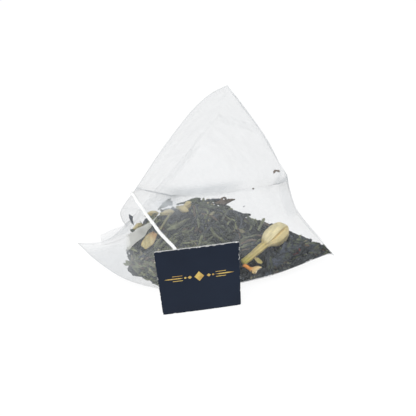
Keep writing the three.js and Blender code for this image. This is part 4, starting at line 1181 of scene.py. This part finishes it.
def add_blossom():
    """A dried flower: an orange stalk opening into a crumpled pale cup."""
    rings, sides, wall = 44, 40, 0.22
    shorter, droop = 0.92, 0.6
    start, end, _, _ = spine("orange_blossom")
    length = np.linalg.norm(end - start) * shorter
    run = unit(end - start)
    run = run * math.cos(droop) - np.cross(to_camera, run) * math.sin(droop)
    start = (start + end - run * length) / 2
    share, angle = shares(rings)[:, None], around(sides)
    stalk = 0.5 + 0.12 * bell(share, 0.08)
    cup = 1.65 * ease(0.42, 0.86, share) * (1 - 0.2 * ease(0.85, 1.0, share))
    ruffle = ease(0.5, 1.0, share) * (0.3 * np.sin(4 * angle + 0.6) + 0.14 * np.sin(13 * angle + 4 * share))
    radius = stalk * (1 - 0.3 * ease(0.4, 0.6, share)) + cup + ruffle
    flattened = radius * (1 - 0.35 * ease(0.4, 1.0, share))
    x = length * share + 0.6 * ease(0.6, 1, share) * np.sin(3 * angle + 1.2)
    outer, inner = (stacked(x, (radius - off) * np.cos(angle), (flattened - off) * np.sin(angle))
                    for off in (0, wall))
    points = np.vstack([outer, inner[rings // 3:][::-1]]).reshape(-1, 3)
    where = np.concatenate([share[:, 0], share[rings // 3:, 0][::-1]])
    tint = mixed((0.78, 0.3, 0.06), (0.7, 0.52, 0.25), ease(0.35, 0.7, where))
    tint = np.repeat(mixed(tint, (0.82, 0.74, 0.55), ease(0.8, 1.0, where)), sides, axis=0)
    uv = stacked(where[:, None] * length, np.arange(sides) * 0.3).reshape(-1, 2)
    points = points + 0.12 * undulation(points, 0.9, 9.9)[:, None] * unit(points * [0, 1, 1])
    points = kept_inside(placed(points, start, run, to_camera), flower_depth)
    make_piece("blossom", "orange_blossom", points, capped_faces(len(where), sides),
               [petal_look], {"tint": tint}, uv)


add_blossom()

# loose leaves and stems
curled_looks = {
    "01": (brown, "brown_leaf"), "02": (green, "leaf"), "03": (olive, "olive_leaf"), "04": (green, "leaf"),
    "05": (dark, "leaf"), "06": (olive, "olive_leaf"), "07": (green, "leaf"), "08": (brown, "brown_leaf"),
    "09": (green, "leaf"), "10": (dark, "leaf")}
stem_tones = {1: (0.07, 0.075, 0.05), 2: (0.3, 0.28, 0.15), 3: (0.07, 0.075, 0.05)}


def along_node(node, bins, rings):
    """A smooth line through a CAD node's length, and the way that its flat side faces."""
    start, end, axes, line = spine(node, bins)
    return Route(np.vstack([start, line[1:-1], end])).at(shares(rings)), axes[2]


def add_curled_leaf(number, colour):
    node = f"curled_leaf_{number}"
    rings, sides = 26, 12
    line, way = along_node(node, 7, rings)
    share = shares(rings)
    ways = spun(line, way, 2.4 * share + rng.random() * 3)
    taper = 0.25 + 0.75 * np.sin(np.pi * np.clip(0.05 + 0.9 * share, 0, 1)) ** 0.7
    section = np.clip(1 + 0.14 * rng.normal(size=(rings, sides)), 0.6, 1.4)
    points, faces, uv = swept(line, ways, 0.75 * taper, 0.36 * taper, sides, section)
    points = kept_inside(points, leaf_depth)
    tint = np.clip(colour * (1.1 + 0.5 * undulation(points, 1.6, 3.3))[:, None], 0, 1)
    make_piece(f"leaf_{number}", node, points, faces, [leaf_look], {"tint": tint}, uv)


def add_stem(number, tone):
    rings, sides = 20, 10
    line, way = along_node(f"stem_{number}", 4, rings)
    share = shares(rings)
    body = 0.33 * (1 + 0.18 * bell(share - 0.35, 0.08) + 0.1 * bell(share - 0.8, 0.06) - 0.2 * share)
    section = 1 + 0.08 * np.cos(5 * around(sides))
    points, faces, uv = swept(line, spun(line, way, 0.0), body, body, sides, section)
    points = kept_inside(points, stem_depth)
    tint = np.broadcast_to(tone, points.shape)
    make_piece(f"stem_bit_{number}", f"stem_{number}", points, faces, [stem_look], {"tint": tint}, uv)


for number, (colour, slot) in curled_looks.items():
    add_curled_leaf(number, colour)
for number, tone in stem_tones.items():
    add_stem(number, tone)

# the tag
tag_width, tag_height, tag_thickness = 21.2, 22.4, 0.35
tag_yaw, tag_lean, tag_roll = 7.2, 1.1, 3


def turned_about(axis, degrees):
    return Matrix.Rotation(math.radians(degrees), 4, axis)


tag_turn = turned_about("Z", tag_yaw) @ turned_about("X", 90 - tag_lean) @ turned_about("Z", tag_roll)
tag_lowest = tag_turn @ Vector((0.3, 0, tag_thickness))
tag_foot = Vector((-11, -20.35 + pouch_back, -min(0.0, tag_lowest.z)))
tag_place = Matrix.Translation(tag_foot) @ tag_turn
tag_nicks = ((0.3, 18.5, 0.5), (0.22, 16.6, 0.35), (0.12, 12.0, 0.4))  # depth, height and size


def on_tag(points):
    return np.array([(tag_place @ Vector(p))[:] for p in np.asarray(points, float)])


def tag_back(x, y):
    """How far the back of the bowed card stands out of the tag's plane."""
    return (0.16 * np.sin(np.pi * x / tag_width) - 0.1 * np.sin(np.pi * y / tag_height)) * 0.6


def card_material():
    """Thin card: dark blue print on the front, white stock at the back and at its cut edges,
    with the print worn off along the rim. The face attribute is 1 where it is printed."""
    shader = Shader("printed_card")
    worn_to = shader.ranged(shader.cloud(900.0, 4.0, 0.7), 0.52, 0.75, 0.0, 0.3)
    worn = shader.maths("LESS_THAN", shader.attribute("rim"), worn_to)
    inked = shader.maths("MULTIPLY", shader.attribute("face"), shader.maths("SUBTRACT", 1.0, worn))
    fibre = shader.cloud(3000.0, 5.0, 0.7)
    patch = shader.ranged(shader.cloud(90.0, 2.0), 0.3, 0.7, 0.88, 1.12)
    ink = shader.scaled((0.0105, 0.0165, 0.031), patch)
    paper = shader.scaled((1.0, 0.99, 0.96), shader.ranged(fibre, 0.3, 0.7, 0.74, 0.86))
    colour = shader.add("Mix", {"Factor": inked, 6: paper, 7: ink}, output=2, data_type="RGBA")
    return shader.bumped(colour, 0.6, 0.12, fibre, 0.25, 3e-5)


def gold_material():
    shader = Shader("gold_print")
    ramp = shader.node("ValToRGB", {"Fac": shader.cloud(420.0, 3.0)})
    for stop, place, colour in zip(ramp.color_ramp.elements, (0.3, 0.7),
                                   ((0.42, 0.24, 0.06, 1), (0.8, 0.62, 0.17, 1))):
        stop.position = place
        stop.color = colour
    inputs = {"Base Color": ramp.outputs[0], "Metallic": 0.3, "Roughness": 0.45}
    return shader.finish(shader.add("BsdfPrincipled", inputs))


def build_tag():
    """The card, with softened corners and cut edges that are not quite straight."""
    count = 72
    total = count * count
    u = (1 - np.cos(np.linspace(0, np.pi, count))) / 2
    x, y = np.meshgrid(u * tag_width, u * tag_height)
    soft = 0.1 * bell(np.minimum(x, tag_width - x) + np.minimum(y, tag_height - y), 0.35)
    x = x + soft * np.sign(tag_width / 2 - x)
    y = y + soft * np.sign(tag_height / 2 - y)
    edge_off = np.minimum(np.minimum(x, tag_width - x), np.minimum(y, tag_height - y)).ravel()
    nick = sum(depth * bell(y - height, size) for depth, height, size in tag_nicks)
    x = x - nick * ease(0.8, 0.0, tag_width - x)
    back = np.stack([x, y, tag_back(x, y)], -1).reshape(-1, 3)
    front = back + [0, 0, tag_thickness]
    faces = grid_faces(count, count, 0, True).tolist() + grid_faces(count, count, total).tolist()
    # the cut edge has its own points: it runs from the print to the white stock
    rim = rim_of(count, count)
    start, turn = 2 * total, len(rim)
    for index in range(turn):
        follow = (index + 1) % turn
        faces.append([start + index, start + turn + index, start + turn + follow, start + follow])
    points = np.vstack([front, back, front[rim], back[rim]])
    printed = np.concatenate([np.ones(total), np.zeros(total), np.ones(turn), np.zeros(turn)])
    rims = np.concatenate([edge_off, edge_off, np.full(2 * turn, 0.12)])
    return make_piece("tag_card", "paper_tag", on_tag(points), faces, [card_material()],
                      {"face": printed, "rim": rims}, smooth=False)


def flat_shape(outline, centre):
    """A thin flat figure of foil on the tag's face, from its outline in the tag's plane."""
    sunk, proud = 0.02, 0.03
    places = [(x + centre[0], y + centre[1]) for x, y in [(0.0, 0.0), *outline]]
    low, high = ([(x, y, float(tag_back(x, y)) + tag_thickness + lift) for x, y in places]
                 for lift in (-sunk, proud))
    count = len(places)
    faces = []
    for index in range(1, count):
        follow = index + 1 if index + 1 < count else 1
        faces.append([count, count + index, count + follow])
        faces.append([0, follow, index])
        faces.append([index, follow, count + follow, count + index])
    return low + high, faces


def build_ornament():
    """A plain printer's rule: a lozenge between dots and two tapering lines."""
    centre = np.array([tag_width * 0.5, tag_height * 0.565])
    lozenge, small = ([(w, 0.0), (0.0, h), (-w, 0.0), (0.0, -h)] for w, h in ((1.25, 1.7), (0.55, 0.55)))
    dot = [(0.3 * math.cos(a), 0.3 * math.sin(a)) for a in around(20)]
    rule = [(-2.4, 0.0), (-1.4, -0.17), (1.4, -0.17), (2.4, 0.0), (1.4, 0.17), (-1.4, 0.17)]
    thin = [(-1.3, -0.09), (1.3, -0.09), (1.3, 0.09), (-1.3, 0.09)]
    figures = [(lozenge, 0, 0)]
    for way in (-1, 1):
        figures += [(small, way * 2.45, 0), (dot, way * 3.6, 0), (rule, way * 6.6, 0),
                    (thin, way * 5.6, -0.85), (thin, way * 5.6, 0.85)]
    points, faces = [], []
    for outline, right, up in figures:
        made, made_faces = flat_shape(outline, centre + [right, up])
        faces += [[v + len(points) for v in face] for face in made_faces]
        points += made
    return make_piece("tag_gold_rule", None, on_tag(points), faces, [gold_material()], smooth=False)


tag = build_tag()
ornament = build_ornament()

# the string
string_points = [
    (-20.0, 3.0, 23.1), (-19.2, 1.2, 23.7), (-18.1, -1.0, 23.5), (-16.7, -3.1, 22.9),
    (-15.1, -5.8, 22.4), (-13.1, -9.0, 22.0), (-11.2, -12.3, 21.8), (-10.1, -14.0, 21.9),
    (-9.0, -15.7, 22.0), (-7.9, -17.3, 22.1), (-7.1, -18.3, 21.7), (-6.7, -18.6, 20.6),
    (-6.5, -18.7, 19.2), (-6.3, -18.7, 17.6), (-6.1, -18.7, 16.0), (-5.9, -18.7, 14.2)]
string_route = Route(np.array(string_points) + [0, pouch_back, 0])
string_root = np.array(skin_tree.find_nearest(Vector(string_route.at(0)))[0])


def cotton_material():
    shader = Shader("cotton_thread")
    fibres = shader.cloud(1.0, 5.0, 0.7, stretch=(3.0, 14.0, 1.0))
    tone = shader.scaled((1.0, 0.995, 0.975), shader.ranged(fibres, 0.3, 0.7, 0.8, 0.94))
    return shader.bumped(tone, 0.85, 0.2, fibres, 0.6, 6e-5, {"Sheen Weight": 0.3})


def add_tube(heap, line, way, half, sides):
    """One thread of the string along a line."""
    heap.add(*swept(line, spun(line, way, 0.0), half, half, sides), (1, 1, 1))


def build_string():
    """Three plies twisted together, with stray fibres."""
    rings, plies, twist_pitch, ply_radius, ply_off = 300, 3, 2.3, 0.255, 0.2
    fibres, fibre_radius, fibre_rings = 150, 0.014, 6
    share = shares(rings)
    rooted = Route(np.vstack([string_root, string_route.at(shares(60))]))
    line = rooted.at(share)
    way = (1, 0, 0.2)
    side, up = spun(line, way, 0.0)
    run = share * rooted.length
    heap = Heap()
    for ply in range(plies):
        angle = 2 * np.pi * (run / twist_pitch + ply / plies)
        centre = line + (side * np.cos(angle)[:, None] + up * np.sin(angle)[:, None]) * ply_off
        body = ply_radius * (1 + 0.07 * np.sin(run * 3.1 + ply) + 0.04 * rng.normal(size=rings))
        add_tube(heap, centre, way, body, 9)
    for _ in range(fibres):
        at = rng.uniform(0.01, 0.97)
        index = int(at * (rings - 1))
        heading = rng.random() * 2 * np.pi
        out = side[index] * math.cos(heading) + up[index] * math.sin(heading)
        along = unit(line[min(index + 3, rings - 1)] - line[max(index - 3, 0)]) * rng.choice([-1, 1])
        reach = rng.uniform(0.5, 1.3)
        t = shares(fibre_rings)[:, None]
        lean = 0.3 + 0.22 * np.sin(np.pi * t * rng.uniform(0.6, 1.1))
        hair = string_route.at(at) + out * lean + along * t * reach
        add_tube(heap, hair, unit(rng.normal(size=3)), np.full(fibre_rings, fibre_radius), 3)
    cord = heap.build("cotton_string", "cotton", "string", cotton_material())
    path = string_route.at(shares(121)) * mm


build_string()
